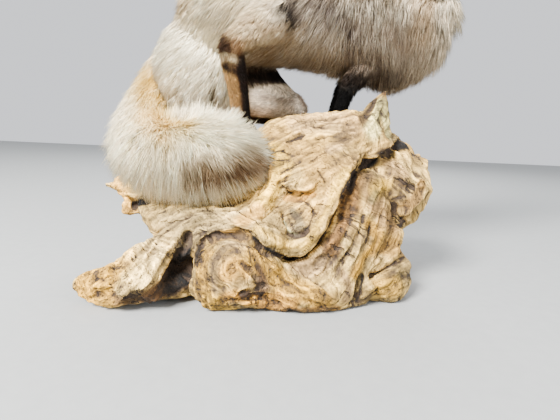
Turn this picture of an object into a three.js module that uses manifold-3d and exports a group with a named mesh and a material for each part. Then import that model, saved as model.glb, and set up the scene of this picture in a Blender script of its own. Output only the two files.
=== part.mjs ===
// A red fox that crouches on a piece of driftwood, at life size, in millimetres with +Z up.
// The fox looks along +X, so its right side faces -Y. Every flesh piece reaches out to the
// tips of its coat. The wood stands on the floor on a few flats, and the fox rests on the wood.

import * as THREE from "three";
import { mergeVertices } from "three/addons/utils/BufferGeometryUtils.js";
import Module from "manifold-3d";

const wasm = await Module();
wasm.setup();

// ---------------------------------------------------------------- driving dimensions

const GAP = 0.3; // clearance between neighbouring pieces
const CAP_RINGS = 2; // rings that round the end of a loft

// Heights of the wood's top under each foot, and where the feet stand on it.
const FOREFOOT_LEVEL = 205;
const RIGHT_HINDFOOT_LEVEL = 232;
const LEFT_HINDFOOT_LEVEL = 250;

// Trunk: each station is a centre with its half width and its reach over and under the centre.
const TRUNK = [
  { at: [-176, 0, 398], wide: 48, over: 46, under: 54 },
  { at: [-150, 0, 414], wide: 66, over: 74, under: 78 },
  { at: [-104, 0, 436], wide: 79, over: 92, under: 90 },
  { at: [-30, 0, 448], wide: 84, over: 98, under: 100 },
  { at: [60, 0, 449], wide: 88, over: 103, under: 102 },
  { at: [132, 0, 455], wide: 91, over: 106, under: 106 },
  { at: [184, 0, 468], wide: 82, over: 102, under: 102 },
  { at: [220, 0, 486], wide: 64, over: 86, under: 84 },
];

// Rump: the low hindquarters that sink onto the wood behind the right leg.
const RUMP = [
  { at: [-140, 0, 418], wide: 66, over: 64, under: 60 },
  { at: [-156, 0, 360], wide: 72, over: 66, under: 77 },
  { at: [-158, 0, 306], wide: 66, over: 56, under: 68 },
  { at: [-146, 0, 268], wide: 50, over: 40, under: 42 },
];

const NECK = [
  { at: [150, 0, 484], wide: 86, over: 80, under: 96 },
  { at: [206, 0, 518], wide: 82, over: 78, under: 88 },
  { at: [260, 0, 568], wide: 71, over: 68, under: 70 },
  { at: [300, 0, 614], wide: 60, over: 56, under: 54 },
];

// Head: its own axis runs from the nape to the nose and dips below the level.
const NAPE = new THREE.Vector3(296, 0, 640);
const HEAD_DIP = THREE.MathUtils.degToRad(14);
const HEAD = [
  { at: [0, 0, -4], wide: 46, over: 34, under: 44 },
  { at: [24, 0, -4], wide: 62, over: 44, under: 54 },
  { at: [50, 0, -6], wide: 64, over: 47, under: 50 },
  { at: [74, 0, -9], wide: 49, over: 42, under: 37 },
  { at: [92, 0, -14], wide: 31, over: 30, under: 26 },
  { at: [112, 0, -20], wide: 22, over: 21, under: 20 },
  { at: [134, 0, -24], wide: 18, over: 17, under: 17 },
  { at: [150, 0, -25], wide: 14, over: 14, under: 13 },
];
const EYE = { at: [83, 26, 11], radius: 9 };
const NOSE = { at: [155, 0, -16], half: [9, 10, 8] };

// Ears: from the root on the crown to the tip, leaning out. The open side faces forward and
// outward, and the cup follows the outer shape at the wall's thickness.
const EAR = [
  { at: [20, 34, 22], wide: 26, over: 16, under: 14 },
  { at: [23, 42, 48], wide: 32, over: 15, under: 12 },
  { at: [25, 50, 74], wide: 26, over: 12, under: 9 },
  { at: [24, 57, 98], wide: 14, over: 7, under: 6 },
  { at: [22, 61, 112], wide: 5, over: 3, under: 3 },
];
const EAR_TURN = THREE.MathUtils.degToRad(38);
const EAR_WALL = 7;
const EAR_CUP_LIFT = 10;

// Tail: from its low root behind the rump, round the left end of the wood, to its blunt tip
// in front of the right hind foot.
const TAIL = [
  { at: [-168, 12, 398], wide: 28, over: 28, under: 28 },
  { at: [-212, 22, 348], wide: 40, over: 42, under: 40 },
  { at: [-236, -10, 290], wide: 48, over: 50, under: 50 },
  { at: [-234, -76, 232], wide: 52, over: 54, under: 54 },
  { at: [-182, -140, 203], wide: 54, over: 54, under: 54 },
  { at: [-122, -168, 203], wide: 53, over: 55, under: 54 },
  { at: [-76, -172, 202], wide: 50, over: 54, under: 52 },
  { at: [-54, -170, 198], wide: 44, over: 46, under: 46 },
];
const TAIL_CUTS = [0.36, 0.68]; // where the tail is parted, as shares of its length

// Hind legs: thigh, shank and hind foot, each a loft of its own from joint to joint.
const RIGHT_HIND = {
  thigh: [
    { at: [-112, -44, 452], wide: 46, over: 66, under: 72 },
    { at: [-50, -60, 448], wide: 42, over: 60, under: 66 },
    { at: [14, -66, 436], wide: 34, over: 44, under: 46 },
  ],
  shank: [
    { at: [22, -72, 434], wide: 30, over: 42, under: 40 },
    { at: [-30, -88, 406], wide: 27, over: 38, under: 36 },
    { at: [-76, -100, 374], wide: 22, over: 25, under: 25 },
    { at: [-90, -103, 356], wide: 18, over: 20, under: 20 },
  ],
  foot: [
    { at: [-88, -103, 362], wide: 16, over: 20, under: 19 },
    { at: [-84, -103, 340], wide: 17, over: 24, under: 22 },
    { at: [-76, -103, 300], wide: 15, over: 18, under: 18 },
    { at: [-70, -103, 262], wide: 16, over: 16, under: 17 },
  ],
};
const LEFT_HIND = {
  thigh: [
    { at: [-112, 40, 408], wide: 40, over: 56, under: 58 },
    { at: [-52, 48, 358], wide: 42, over: 50, under: 48 },
    { at: [4, 34, 302], wide: 36, over: 34, under: 40 },
    { at: [26, 26, 284], wide: 28, over: 24, under: 26 },
  ],
  shank: [
    { at: [22, 24, 288], wide: 26, over: 30, under: 28 },
    { at: [-40, 22, 294], wide: 26, over: 34, under: 34 },
    { at: [-96, 22, 286], wide: 20, over: 26, under: 26 },
  ],
  foot: [
    { at: [-104, 50, 276], wide: 18, over: 20, under: 20 },
    { at: [-60, 62, 270], wide: 16, over: 17, under: 17 },
    { at: [-10, 68, 266], wide: 17, over: 16, under: 15 },
  ],
};

// Forelegs: the upper arm leaves the chest, the forearm drops to the wrist over the paw.
const FORELEG_SPREAD = 44;
const FORELEG = [
  { at: [150, 0, 392], wide: 30, over: 40, under: 42 },
  { at: [132, 0, 356], wide: 25, over: 31, under: 33 },
  { at: [106, 0, 316], wide: 17, over: 17, under: 18 },
  { at: [92, 0, 276], wide: 15, over: 15, under: 15 },
  { at: [88, 0, 240], wide: 16, over: 16, under: 16 },
];

// Paws: a pad with four toes. Sizes are half sizes of the pad, and the toes' reach and spread.
const FORE_PAW = { half: [26, 21, 17], toe: [15, 8, 9], reach: 17, spread: 11 };
const HIND_PAW = { half: [25, 19, 16], toe: [14, 7.5, 9], reach: 16, spread: 10 };

// Driftwood: knots and lumps as ellipsoids, limbs as lofts.
const LUMPS = [
  { name: "heart", at: [60, 4, 84], half: [162, 128, 122], turn: 0 },
  { name: "seat", at: [-92, 4, 148], half: [120, 106, 104], turn: 4 },
  { name: "face", at: [30, -128, 120], half: [150, 72, 118], turn: -3 },
  { name: "burl", at: [-52, -198, 58], half: [70, 60, 74], turn: 10 },
  { name: "brow", at: [58, -158, 64], half: [92, 68, 84], turn: 8 },
  { name: "flank", at: [176, -50, 160], half: [74, 90, 84], turn: 14 },
  { name: "wedge", at: [160, -132, 34], half: [52, 54, 46], turn: 16 },
  { name: "cheek", at: [142, -104, 92], half: [62, 52, 58], turn: 12 },
];
const LIMBS = [
  {
    name: "ridge",
    stations: [
      { at: [-86, -88, 188], wide: 40, over: 40, under: 60 },
      { at: [-16, -102, 214], wide: 44, over: 44, under: 70 },
      { at: [54, -108, 232], wide: 44, over: 46, under: 80 },
      { at: [112, -92, 230], wide: 44, over: 42, under: 80 },
      { at: [156, -68, 212], wide: 44, over: 42, under: 70 },
    ],
  },
  {
    name: "shelf",
    stations: [
      { at: [-186, -104, 122], wide: 40, over: 32, under: 40 },
      { at: [-130, -152, 106], wide: 54, over: 42, under: 60 },
      { at: [-10, -166, 108], wide: 54, over: 44, under: 70 },
    ],
  },
  {
    name: "left_lobe",
    stations: [
      { at: [-112, -158, 62], wide: 60, over: 56, under: 64 },
      { at: [-184, -222, 42], wide: 46, over: 42, under: 50 },
      { at: [-232, -218, 30], wide: 32, over: 26, under: 36 },
      { at: [-262, -208, 24], wide: 20, over: 18, under: 28 },
    ],
  },
  {
    name: "left_root",
    stations: [
      { at: [-140, -10, 150], wide: 74, over: 62, under: 60 },
      { at: [-214, -8, 148], wide: 58, over: 44, under: 42 },
      { at: [-258, -6, 142], wide: 40, over: 36, under: 46 },
      { at: [-286, -12, 134], wide: 20, over: 18, under: 28 },
    ],
  },
  {
    name: "left_peak",
    stations: [
      { at: [-200, -6, 156], wide: 44, over: 30, under: 40 },
      { at: [-250, -8, 170], wide: 26, over: 20, under: 26 },
      { at: [-290, -10, 184], wide: 11, over: 9, under: 14 },
    ],
  },
  {
    name: "left_spur",
    stations: [
      { at: [-160, -44, 112], wide: 48, over: 40, under: 44 },
      { at: [-222, -30, 104], wide: 30, over: 28, under: 26 },
      { at: [-270, -24, 98], wide: 18, over: 18, under: 20 },
    ],
  },
  {
    name: "apron",
    stations: [
      { at: [-30, -190, 34], wide: 44, over: 40, under: 44 },
      { at: [40, -190, 30], wide: 46, over: 38, under: 40 },
      { at: [104, -172, 30], wide: 40, over: 34, under: 40 },
    ],
  },
  {
    name: "right_back_root",
    stations: [
      { at: [110, 60, 90], wide: 66, over: 60, under: 80 },
      { at: [172, 92, 58], wide: 42, over: 40, under: 56 },
      { at: [206, 106, 34], wide: 24, over: 22, under: 34 },
    ],
  },
  {
    name: "left_back_root",
    stations: [
      { at: [-90, 60, 110], wide: 60, over: 66, under: 90 },
      { at: [-150, 100, 54], wide: 42, over: 40, under: 54 },
      { at: [-184, 116, 30], wide: 24, over: 20, under: 30 },
    ],
  },
];
const HORN = [
  { at: [132, -84, 232], wide: 34, over: 36, under: 34 },
  { at: [142, -78, 268], wide: 22, over: 24, under: 24 },
  { at: [152, -72, 296], wide: 11, over: 12, under: 13 },
  { at: [157, -69, 312], wide: 4, over: 5, under: 5 },
];
const WOOD_RIPPLE = 5; // how far the weathered surface rises and falls

// ---------------------------------------------------------------- finishes

const finish = (colour, roughness) => ({ color: colour, roughness, metalness: 0 });
const FINISH = {
  cream: finish(0xd9cdb4, 0.95),
  grizzled: finish(0xa99c8a, 0.95),
  rufous: finish(0xb4906a, 0.95),
  stocking: finish(0x4a3527, 0.9),
  eye: finish(0x3a2410, 0.1),
  nose: finish(0x17130f, 0.45),
  wood: finish(0xb98f5f, 0.85),
};

// ---------------------------------------------------------------- geometry helpers

const UP = new THREE.Vector3(0, 0, 1);
const FORWARD = new THREE.Vector3(1, 0, 0);

// A closed loft. Rings stand square to the line through the stations, and both ends are domed.
// "over" points towards the upright direction and "under" away from it.
function loft(stations, { rings = 10, sides = 18, upright = UP, grow = 0 } = {}) {
  const centres = new THREE.CatmullRomCurve3(stations.map((s) => new THREE.Vector3(...s.at)));
  const sizes = new THREE.CatmullRomCurve3(
    stations.map((s) => new THREE.Vector3(s.wide, s.over, s.under)),
  );
  const vertices = [];
  const addRing = (centre, tangent, size) => {
    const across = new THREE.Vector3().crossVectors(upright, tangent).normalize();
    const over = new THREE.Vector3().crossVectors(tangent, across).normalize();
    for (let i = 0; i < sides; i += 1) {
      const angle = (2 * Math.PI * i) / sides;
      const lift = Math.sin(angle);
      const reach = lift > 0 ? size.y : size.z;
      const point = centre
        .clone()
        .addScaledVector(across, size.x * Math.cos(angle))
        .addScaledVector(over, reach * lift);
      vertices.push(point.x, point.y, point.z);
    }
  };
  const addStation = (t, outward, capAngle) => {
    const tangent = centres.getTangent(t);
    const size = sizes.getPoint(t).addScalar(grow);
    const dome = Math.min(size.x, size.y, size.z);
    const centre = centres
      .getPoint(t)
      .addScaledVector(tangent, outward * dome * Math.sin(capAngle));
    addRing(centre, tangent, size.multiplyScalar(Math.cos(capAngle)));
  };
  const addPole = (t, outward) => {
    const size = sizes.getPoint(t).addScalar(grow);
    const dome = Math.min(size.x, size.y, size.z);
    const pole = centres.getPoint(t).addScaledVector(centres.getTangent(t), outward * dome);
    vertices.push(pole.x, pole.y, pole.z);
  };
  const capStep = Math.PI / 2 / CAP_RINGS;
  for (let k = CAP_RINGS - 1; k > 0; k -= 1) {
    addStation(0, -1, k * capStep);
  }
  for (let k = 0; k <= rings; k += 1) {
    addStation(k / rings, 1, 0);
  }
  for (let k = 1; k < CAP_RINGS; k += 1) {
    addStation(1, 1, k * capStep);
  }
  addPole(0, -1);
  addPole(1, 1);
  const ringCount = rings + 1 + 2 * (CAP_RINGS - 1);
  const firstPole = ringCount * sides;
  const faces = [];
  for (let k = 0; k < ringCount - 1; k += 1) {
    for (let i = 0; i < sides; i += 1) {
      const next = (i + 1) % sides;
      const a = k * sides + i;
      const b = k * sides + next;
      faces.push(a, b, b + sides, a, b + sides, a + sides);
    }
  }
  const lastRing = (ringCount - 1) * sides;
  for (let i = 0; i < sides; i += 1) {
    const next = (i + 1) % sides;
    faces.push(firstPole, next, i);
    faces.push(firstPole + 1, lastRing + i, lastRing + next);
  }
  const geometry = new THREE.BufferGeometry();
  geometry.setAttribute("position", new THREE.Float32BufferAttribute(vertices, 3));
  geometry.setIndex(faces);
  return geometry;
}

// A geometry with its positions alone, and one vertex for each place.
function welded(geometry) {
  const bare = geometry.clone();
  bare.deleteAttribute("normal");
  bare.deleteAttribute("uv");
  return mergeVertices(bare, 1e-4);
}

// A ball stretched to three half sizes, turned about Z and moved to its place.
function ellipsoid(at, half, { turn = 0, segments = 20, grow = 0 } = {}) {
  const geometry = welded(new THREE.SphereGeometry(1, segments, Math.round(segments * 0.6)));
  geometry.rotateX(Math.PI / 2);
  geometry.scale(half[0] + grow, half[1] + grow, half[2] + grow);
  geometry.rotateZ(THREE.MathUtils.degToRad(turn));
  geometry.translate(...at);
  return geometry;
}

// Weathering: moves each point along its normal by a smooth ripple of its own place.
function weather(geometry, amount) {
  geometry.computeVertexNormals();
  const place = geometry.getAttribute("position");
  const normal = geometry.getAttribute("normal");
  for (let i = 0; i < place.count; i += 1) {
    const x = place.getX(i);
    const y = place.getY(i);
    const z = place.getZ(i);
    const wave = Math.sin(x / 23 + z / 31) + Math.sin(y / 19 - x / 41 + 2) + Math.sin(z / 17 + y / 37);
    const push = (amount * wave) / 2;
    place.setXYZ(
      i,
      x + push * normal.getX(i),
      y + push * normal.getY(i),
      z + push * normal.getZ(i),
    );
  }
  return geometry;
}

// A box from one corner to the other.
function block(low, high) {
  const size = high.map((value, axis) => value - low[axis]);
  const middle = high.map((value, axis) => (value + low[axis]) / 2);
  return new THREE.BoxGeometry(...size).translate(...middle);
}

function solid(geometry) {
  const merged = welded(geometry);
  return new wasm.Manifold(
    new wasm.Mesh({
      numProp: 3,
      vertProperties: Float32Array.from(merged.getAttribute("position").array),
      triVerts: Uint32Array.from(merged.index.array),
    }),
  );
}

function geometryOf(body) {
  const mesh = body.getMesh();
  const geometry = new THREE.BufferGeometry();
  geometry.setAttribute("position", new THREE.Float32BufferAttribute(mesh.vertProperties, 3));
  geometry.setIndex(Array.from(mesh.triVerts));
  return geometry;
}

const join = (bodies) => bodies.reduce((whole, body) => whole.add(body));
const cut = (body, ...others) => others.reduce((rest, other) => rest.subtract(other), body);

// The largest separate piece of a body, without the crumbs that a cut can leave.
function largest(body) {
  const pieces = body.decompose();
  return pieces.reduce((best, piece) => (piece.volume() > best.volume() ? piece : best));
}

// ---------------------------------------------------------------- the fox

const trunkBody = (grow = 0) =>
  join([
    solid(loft(TRUNK, { rings: 9, sides: 18, grow })),
    solid(loft(RUMP, { rings: 4, sides: 12, upright: FORWARD, grow })),
  ]);

const neckBody = (grow = 0) => solid(loft(NECK, { rings: 3, sides: 16, grow }));

// Puts a geometry in head coordinates (x to the nose, z to the crown) in its place.
function inHead(geometry) {
  return geometry.rotateY(HEAD_DIP).translate(NAPE.x, NAPE.y, NAPE.z);
}

const mirrored = (stations, side) =>
  stations.map((s) => ({ ...s, at: [s.at[0], s.at[1] * side, s.at[2]] }));

const headBody = (grow = 0) => solid(inHead(loft(HEAD, { rings: 12, sides: 18, grow })));
const noseBody = (grow = 0) => solid(inHead(ellipsoid(NOSE.at, NOSE.half, { segments: 10, grow })));

function eyeBody(side, grow = 0) {
  const [x, y, z] = EYE.at;
  const half = [EYE.radius, EYE.radius, EYE.radius];
  return solid(inHead(ellipsoid([x, y * side, z], half, { segments: 10, grow })));
}

function earBody(side, grow = 0) {
  const open = new THREE.Vector3(Math.cos(EAR_TURN), side * Math.sin(EAR_TURN), 0);
  const outer = mirrored(EAR, side);
  const cup = outer.slice(1, 4).map((s) => ({
    at: new THREE.Vector3(...s.at).addScaledVector(open, s.over).toArray(),
    wide: s.wide - EAR_WALL,
    over: s.over,
    under: Math.max(s.over - 3, 4),
  }));
  cup[0].at[2] -= EAR_CUP_LIFT;
  const shell = solid(inHead(loft(outer, { rings: 5, sides: 10, upright: open, grow })));
  const hollow = solid(inHead(loft(cup, { rings: 3, sides: 8, upright: open })));
  return shell.subtract(hollow);
}

const tailBody = (grow = 0) => solid(loft(TAIL, { rings: 14, sides: 14, grow }));

// A thin slab square to the tail, used to part it into lengths.
function tailSlab(share) {
  const line = new THREE.CatmullRomCurve3(TAIL.map((s) => new THREE.Vector3(...s.at)));
  const reach = 200;
  const slab = new THREE.BoxGeometry(reach, reach, GAP);
  slab.applyQuaternion(new THREE.Quaternion().setFromUnitVectors(UP, line.getTangent(share)));
  const middle = line.getPoint(share);
  slab.translate(middle.x, middle.y, middle.z);
  return solid(slab);
}

const hindLegBody = (leg, footUpright, grow = 0) =>
  join([
    solid(loft(leg.thigh, { rings: 3, sides: 11, grow })),
    solid(loft(leg.shank, { rings: 3, sides: 10, grow })),
    solid(loft(leg.foot, { rings: 3, sides: 9, upright: footUpright, grow })),
  ]);

const foreLegBody = (side, grow = 0) => {
  const stations = FORELEG.map((s) => ({ ...s, at: [s.at[0], side * FORELEG_SPREAD, s.at[2]] }));
  return solid(loft(stations, { rings: 5, sides: 10, upright: FORWARD, grow }));
};

// A paw whose sole lies at a level: the pad, then four toes fanned in front of it.
function pawBody(paw, [x, y, level], grow = 0) {
  const pad = ellipsoid([x, y, level + paw.half[2]], paw.half, { segments: 10, grow });
  const toes = [-1.5, -0.5, 0.5, 1.5].map((place) => {
    const back = 4 * Math.abs(place);
    const at = [x + paw.reach - back, y + place * paw.spread, level + paw.toe[2]];
    return solid(ellipsoid(at, paw.toe, { turn: 6 * place, segments: 7, grow }));
  });
  return join([solid(pad), ...toes]);
}

const PAW_PLACES = {
  fore_right: [FORE_PAW, [98, -FORELEG_SPREAD, FOREFOOT_LEVEL]],
  fore_left: [FORE_PAW, [98, FORELEG_SPREAD, FOREFOOT_LEVEL]],
  hind_right: [HIND_PAW, [-64, -103, RIGHT_HINDFOOT_LEVEL]],
  hind_left: [HIND_PAW, [14, 70, LEFT_HINDFOOT_LEVEL]],
};

// ---------------------------------------------------------------- the driftwood

function driftwoodBody() {
  const lumps = LUMPS.map((lump) =>
    solid(weather(ellipsoid(lump.at, lump.half, { turn: lump.turn, segments: 12 }), WOOD_RIPPLE)),
  );
  const limbs = LIMBS.map((limb) =>
    solid(weather(loft(limb.stations, { rings: 3, sides: 8 }), WOOD_RIPPLE)),
  );
  const horn = solid(loft(HORN, { rings: 4, sides: 8, upright: FORWARD }));
  const whole = join([...lumps, ...limbs, horn]);
  const reach = 600;
  const overFloor = solid(block([-reach, -reach, 0], [reach, reach, reach]));
  return whole.intersect(overFloor);
}

// ---------------------------------------------------------------- assembly

const group = new THREE.Group();

function addPiece(name, body, look) {
  const material = new THREE.MeshStandardMaterial({ ...look, flatShading: true });
  const mesh = new THREE.Mesh(geometryOf(largest(body)), material);
  mesh.name = name;
  group.add(mesh);
}

const trunkRoom = trunkBody(GAP);
const neckRoom = neckBody(GAP);
const headRoom = headBody(GAP);

addPiece("trunk", trunkBody(), FINISH.grizzled);
addPiece("neck", cut(neckBody(), trunkRoom, headRoom), FINISH.grizzled);
addPiece("head", cut(headBody(), noseBody(GAP), eyeBody(1, GAP), eyeBody(-1, GAP)), FINISH.rufous);
addPiece("nose", noseBody(), FINISH.nose);
for (const [side, hand] of [["left", 1], ["right", -1]]) {
  addPiece(`eye_${side}`, eyeBody(hand), FINISH.eye);
  addPiece(`ear_${side}`, cut(earBody(hand), headRoom, neckRoom), FINISH.rufous);
}

const pawRooms = Object.fromEntries(
  Object.entries(PAW_PLACES).map(([name, [paw, place]]) => [name, pawBody(paw, place, GAP)]),
);
for (const [name, [paw, place]] of Object.entries(PAW_PLACES)) {
  addPiece(`paw_${name}`, pawBody(paw, place), FINISH.stocking);
}

const legRooms = {
  hind_right: hindLegBody(RIGHT_HIND, FORWARD, GAP),
  hind_left: hindLegBody(LEFT_HIND, UP, GAP),
  fore_right: foreLegBody(-1, GAP),
  fore_left: foreLegBody(1, GAP),
};
const rightHind = cut(hindLegBody(RIGHT_HIND, FORWARD), trunkRoom, pawRooms.hind_right, legRooms.fore_right);
const leftHind = cut(hindLegBody(LEFT_HIND, UP), trunkRoom, pawRooms.hind_left, legRooms.hind_right);
addPiece("leg_hind_right", rightHind, FINISH.rufous);
addPiece("leg_hind_left", leftHind, FINISH.cream);
for (const [side, hand] of [["right", -1], ["left", 1]]) {
  const leg = cut(foreLegBody(hand), trunkRoom, pawRooms[`fore_${side}`]);
  addPiece(`leg_fore_${side}`, leg, FINISH.stocking);
}

const tailClear = cut(tailBody(), trunkRoom, legRooms.hind_right, legRooms.hind_left, pawRooms.hind_right);
const tailParts = cut(largest(tailClear), ...TAIL_CUTS.map(tailSlab)).decompose();
const tailLine = new THREE.Vector3(...TAIL.at(-1).at);
const distanceToTip = (body) => {
  const box = body.boundingBox();
  const middle = new THREE.Vector3(...box.min).add(new THREE.Vector3(...box.max)).divideScalar(2);
  return middle.distanceTo(tailLine);
};
tailParts.sort((a, b) => distanceToTip(b) - distanceToTip(a));
["tail_base", "tail_middle", "tail_tip"].forEach((name, i) => {
  addPiece(name, tailParts[i], FINISH.cream);
});

const wood = cut(
  driftwoodBody(),
  trunkRoom,
  tailBody(GAP),
  ...Object.values(legRooms),
  ...Object.values(pawRooms),
);
addPiece("driftwood", wood, FINISH.wood);

// The origin is the middle of the whole box's underside.
const box = new THREE.Box3().setFromObject(group);
const middle = box.getCenter(new THREE.Vector3());
group.position.set(-middle.x, -middle.y, -box.min.z);

export default group;
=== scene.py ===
"""A life-size mounted red fox crouching on driftwood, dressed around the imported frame.

Lengths are in metres. The fox looks along +X, its right side faces -Y, and +Z is up. Places are
first given in design coordinates, whose origin lies on the floor under the fox's mid-plane, and
`Home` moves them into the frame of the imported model.
"""

import logging
import math
from dataclasses import dataclass, field
from enum import Enum
from typing import Callable, Sequence

import bpy
import numpy as np
from mathutils import Matrix, Vector, kdtree
from mathutils.bvhtree import BVHTree

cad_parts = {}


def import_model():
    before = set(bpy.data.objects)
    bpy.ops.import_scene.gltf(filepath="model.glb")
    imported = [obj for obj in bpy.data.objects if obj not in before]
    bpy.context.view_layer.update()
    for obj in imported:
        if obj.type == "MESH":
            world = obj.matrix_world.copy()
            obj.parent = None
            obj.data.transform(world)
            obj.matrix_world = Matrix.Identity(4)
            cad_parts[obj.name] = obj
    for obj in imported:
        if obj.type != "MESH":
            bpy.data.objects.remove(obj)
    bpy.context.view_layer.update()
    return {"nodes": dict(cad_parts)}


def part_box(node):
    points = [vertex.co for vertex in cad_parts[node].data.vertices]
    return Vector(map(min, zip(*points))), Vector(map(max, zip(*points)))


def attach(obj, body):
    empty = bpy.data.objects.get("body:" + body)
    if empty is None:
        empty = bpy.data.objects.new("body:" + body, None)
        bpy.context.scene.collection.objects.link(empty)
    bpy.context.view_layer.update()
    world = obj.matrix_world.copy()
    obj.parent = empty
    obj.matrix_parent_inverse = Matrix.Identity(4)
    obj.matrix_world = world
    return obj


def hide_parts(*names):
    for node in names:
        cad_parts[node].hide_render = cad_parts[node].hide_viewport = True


log = logging.getLogger("fox")
Array = np.ndarray
Item = bpy.types.Object
Mesh = bpy.types.Mesh
Material = bpy.types.Material
Chance = np.random.Generator
Triple = tuple[float, float, float]
Rgba = tuple[float, float, float, float]
Pixel = tuple[float, float]
Path = tuple[Pixel, ...]
Stations = Sequence[Sequence[float]]
Colour = int  # 0xRRGGBB, as it is displayed

SEED = 20417
MM = 0.001
WORLD_UP = np.array([0.0, 0.0, 1.0])
FAR = 1e9  # more than any distance here
FAINT = 1e-9  # less than any size here


# ---------------- small helpers


def deselect_all() -> None:
    """Leaves no object selected."""
    for item in bpy.context.selected_objects:
        item.select_set(False)


def only(item: Item) -> Item:
    """Makes one object the selected and active one.

    Args:
        item: the object to work on.

    Returns:
        The same object.
    """
    deselect_all()
    item.select_set(True)
    bpy.context.view_layer.objects.active = item
    return item


def smooth_shaded(item: Item) -> Item:
    """Smooths an object's shading.

    Args:
        item: the object to work on.

    Returns:
        The same object.
    """
    only(item)
    bpy.ops.object.shade_smooth()
    return item


def apply_modifier(item: Item, kind: str, **settings: object) -> Item:
    """Adds a modifier with its settings and applies it at once.

    Args:
        item: the object it works on.
        kind: the modifier's type.
        settings: its properties.

    Returns:
        The same object.
    """
    only(item)
    modifier = item.modifiers.new(kind.lower(), kind)
    for name, value in settings.items():
        setattr(modifier, name, value)
    bpy.ops.object.modifier_apply(modifier=modifier.name)
    return item


def joined(items: Sequence[Item], name: str) -> Item:
    """Joins several mesh objects into one.

    Args:
        items: the objects, which are used up.
        name: the name of the result.

    Returns:
        The joined object.
    """
    deselect_all()
    for item in items:
        item.select_set(True)
    bpy.context.view_layer.objects.active = items[0]
    if len(items) > 1:
        bpy.ops.object.join()
    items[0].name = name
    return items[0]


def ball(sides: int, rings: int) -> Item:
    """Adds a ball with a radius of one."""
    bpy.ops.mesh.primitive_uv_sphere_add(segments=sides, ring_count=rings, radius=1.0)
    return bpy.context.active_object


def read(members: Sequence, key: str, columns: int, kind: type) -> Array:
    """Reads one property of all members of a mesh's collection.

    Args:
        members: the collection.
        key: the property.
        columns: how many numbers each member has.
        kind: the type of the numbers.

    Returns:
        One row for each member.
    """
    flat = np.empty(len(members) * columns, kind)
    members.foreach_get(key, flat)
    return flat.reshape(-1, columns)


def points_of(mesh: Mesh) -> Array:
    """The mesh's vertex places, one row each."""
    return read(mesh.vertices, "co", 3, np.float64)


def set_points(mesh: Mesh, points: Array) -> None:
    """Puts the vertices at new places."""
    mesh.vertices.foreach_set("co", points.astype(np.float32).ravel())
    mesh.update()


def normals_of(mesh: Mesh) -> Array:
    """The mesh's vertex normals, one row each."""
    return read(mesh.vertex_normals, "vector", 3, np.float32).astype(np.float64)


def edges_of(mesh: Mesh) -> Array:
    """The mesh's edges as pairs of vertex numbers."""
    return read(mesh.edges, "vertices", 2, np.int32)


def triangles_of(mesh: Mesh) -> Array:
    """The mesh's triangles as rows of vertex numbers."""
    mesh.calc_loop_triangles()
    return read(mesh.loop_triangles, "vertices", 3, np.int32)


def unit(vectors: Array) -> Array:
    """The same vectors with a length of one."""
    length = np.linalg.norm(vectors, axis=-1, keepdims=True)
    return vectors / np.maximum(length, 1e-12)


def dot(first: Array, second: Array) -> Array:
    """The dot product of each pair of rows."""
    return np.einsum("ij,ij->i", first, second)


def laid_flat(vectors: Array, normals: Array) -> Array:
    """The part of each vector that lies on the surface."""
    return vectors - normals * dot(vectors, normals)[:, None]


def smoothstep(low: float, high: float, value: Array) -> Array:
    """A soft step from 0 at low to 1 at high."""
    t = np.clip((value - low) / (high - low), 0.0, 1.0)
    return t * t * (3.0 - 2.0 * t)


def neighbour_mean(values: Array, edges: Array) -> Array:
    """For each vertex, the mean of the values at the other ends of its edges.

    Args:
        values: one row for each vertex.
        edges: pairs of vertex numbers.

    Returns:
        The means, in the shape of values.
    """
    count = len(values)
    columns = values.reshape(count, -1)
    degree = np.bincount(edges.ravel(), minlength=count).astype(float)
    total = np.empty_like(columns)
    for k in range(columns.shape[1]):
        column = columns[:, k]
        total[:, k] = np.bincount(edges[:, 0], column[edges[:, 1]], count)
        total[:, k] += np.bincount(edges[:, 1], column[edges[:, 0]], count)
    return (total / np.maximum(degree, 1.0)[:, None]).reshape(values.shape)


def relax(points: Array, edges: Array, rounds: int, amount: float = 0.5) -> Array:
    """Smooths places along the edges.

    Args:
        points: the vertex places.
        edges: pairs of vertex numbers.
        rounds: how often.
        amount: how far each round moves a vertex to its neighbours' mean.

    Returns:
        The smoothed places.
    """
    for _ in range(rounds):
        points = points + amount * (neighbour_mean(points, edges) - points)
    return points


def pairs(numbers: Sequence[float]) -> Path:
    """Numbers in a row, taken two by two."""
    return tuple(zip(numbers[::2], numbers[1::2]))


def rgb(colour: Colour) -> Array:
    """A colour's red, green and blue, each from 0 to 255."""
    return np.array([colour >> 16, colour >> 8 & 255, colour & 255], float)


def to_linear(colours: Array) -> Array:
    """Display colours from 0 to 255 as linear ones."""
    parts = np.clip(colours / 255.0, 0.0, 1.0)
    return np.where(parts <= 0.04045, parts / 12.92, ((parts + 0.055) / 1.055) ** 2.4)


def with_alpha(colours: Array) -> Array:
    """Adds a full alpha column."""
    return np.concatenate([colours, np.ones((len(colours), 1))], axis=1)


def combed(ways: Array, normals: Array, edges: Array, rounds: int) -> Array:
    """Evens out directions that lie on a surface.

    Args:
        ways: a direction for each vertex.
        normals: the surface's normals there.
        edges: pairs of vertex numbers.
        rounds: how often each is blended with its neighbours.

    Returns:
        The unit directions.
    """
    for _ in range(rounds):
        ways = unit(laid_flat(ways, normals))
        ways = ways + neighbour_mean(ways, edges)
    return unit(laid_flat(ways, normals))


def nearest_of(points: Array, places: Array) -> Array:
    """For each place, the number of the point nearest to it.

    Args:
        points: the points to choose from.
        places: the places to look at.

    Returns:
        One number for each place.
    """
    tree = kdtree.KDTree(len(points))
    for number, point in enumerate(points):
        tree.insert(point, number)
    tree.balance()
    return np.array([tree.find(place)[1] for place in places])


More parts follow.
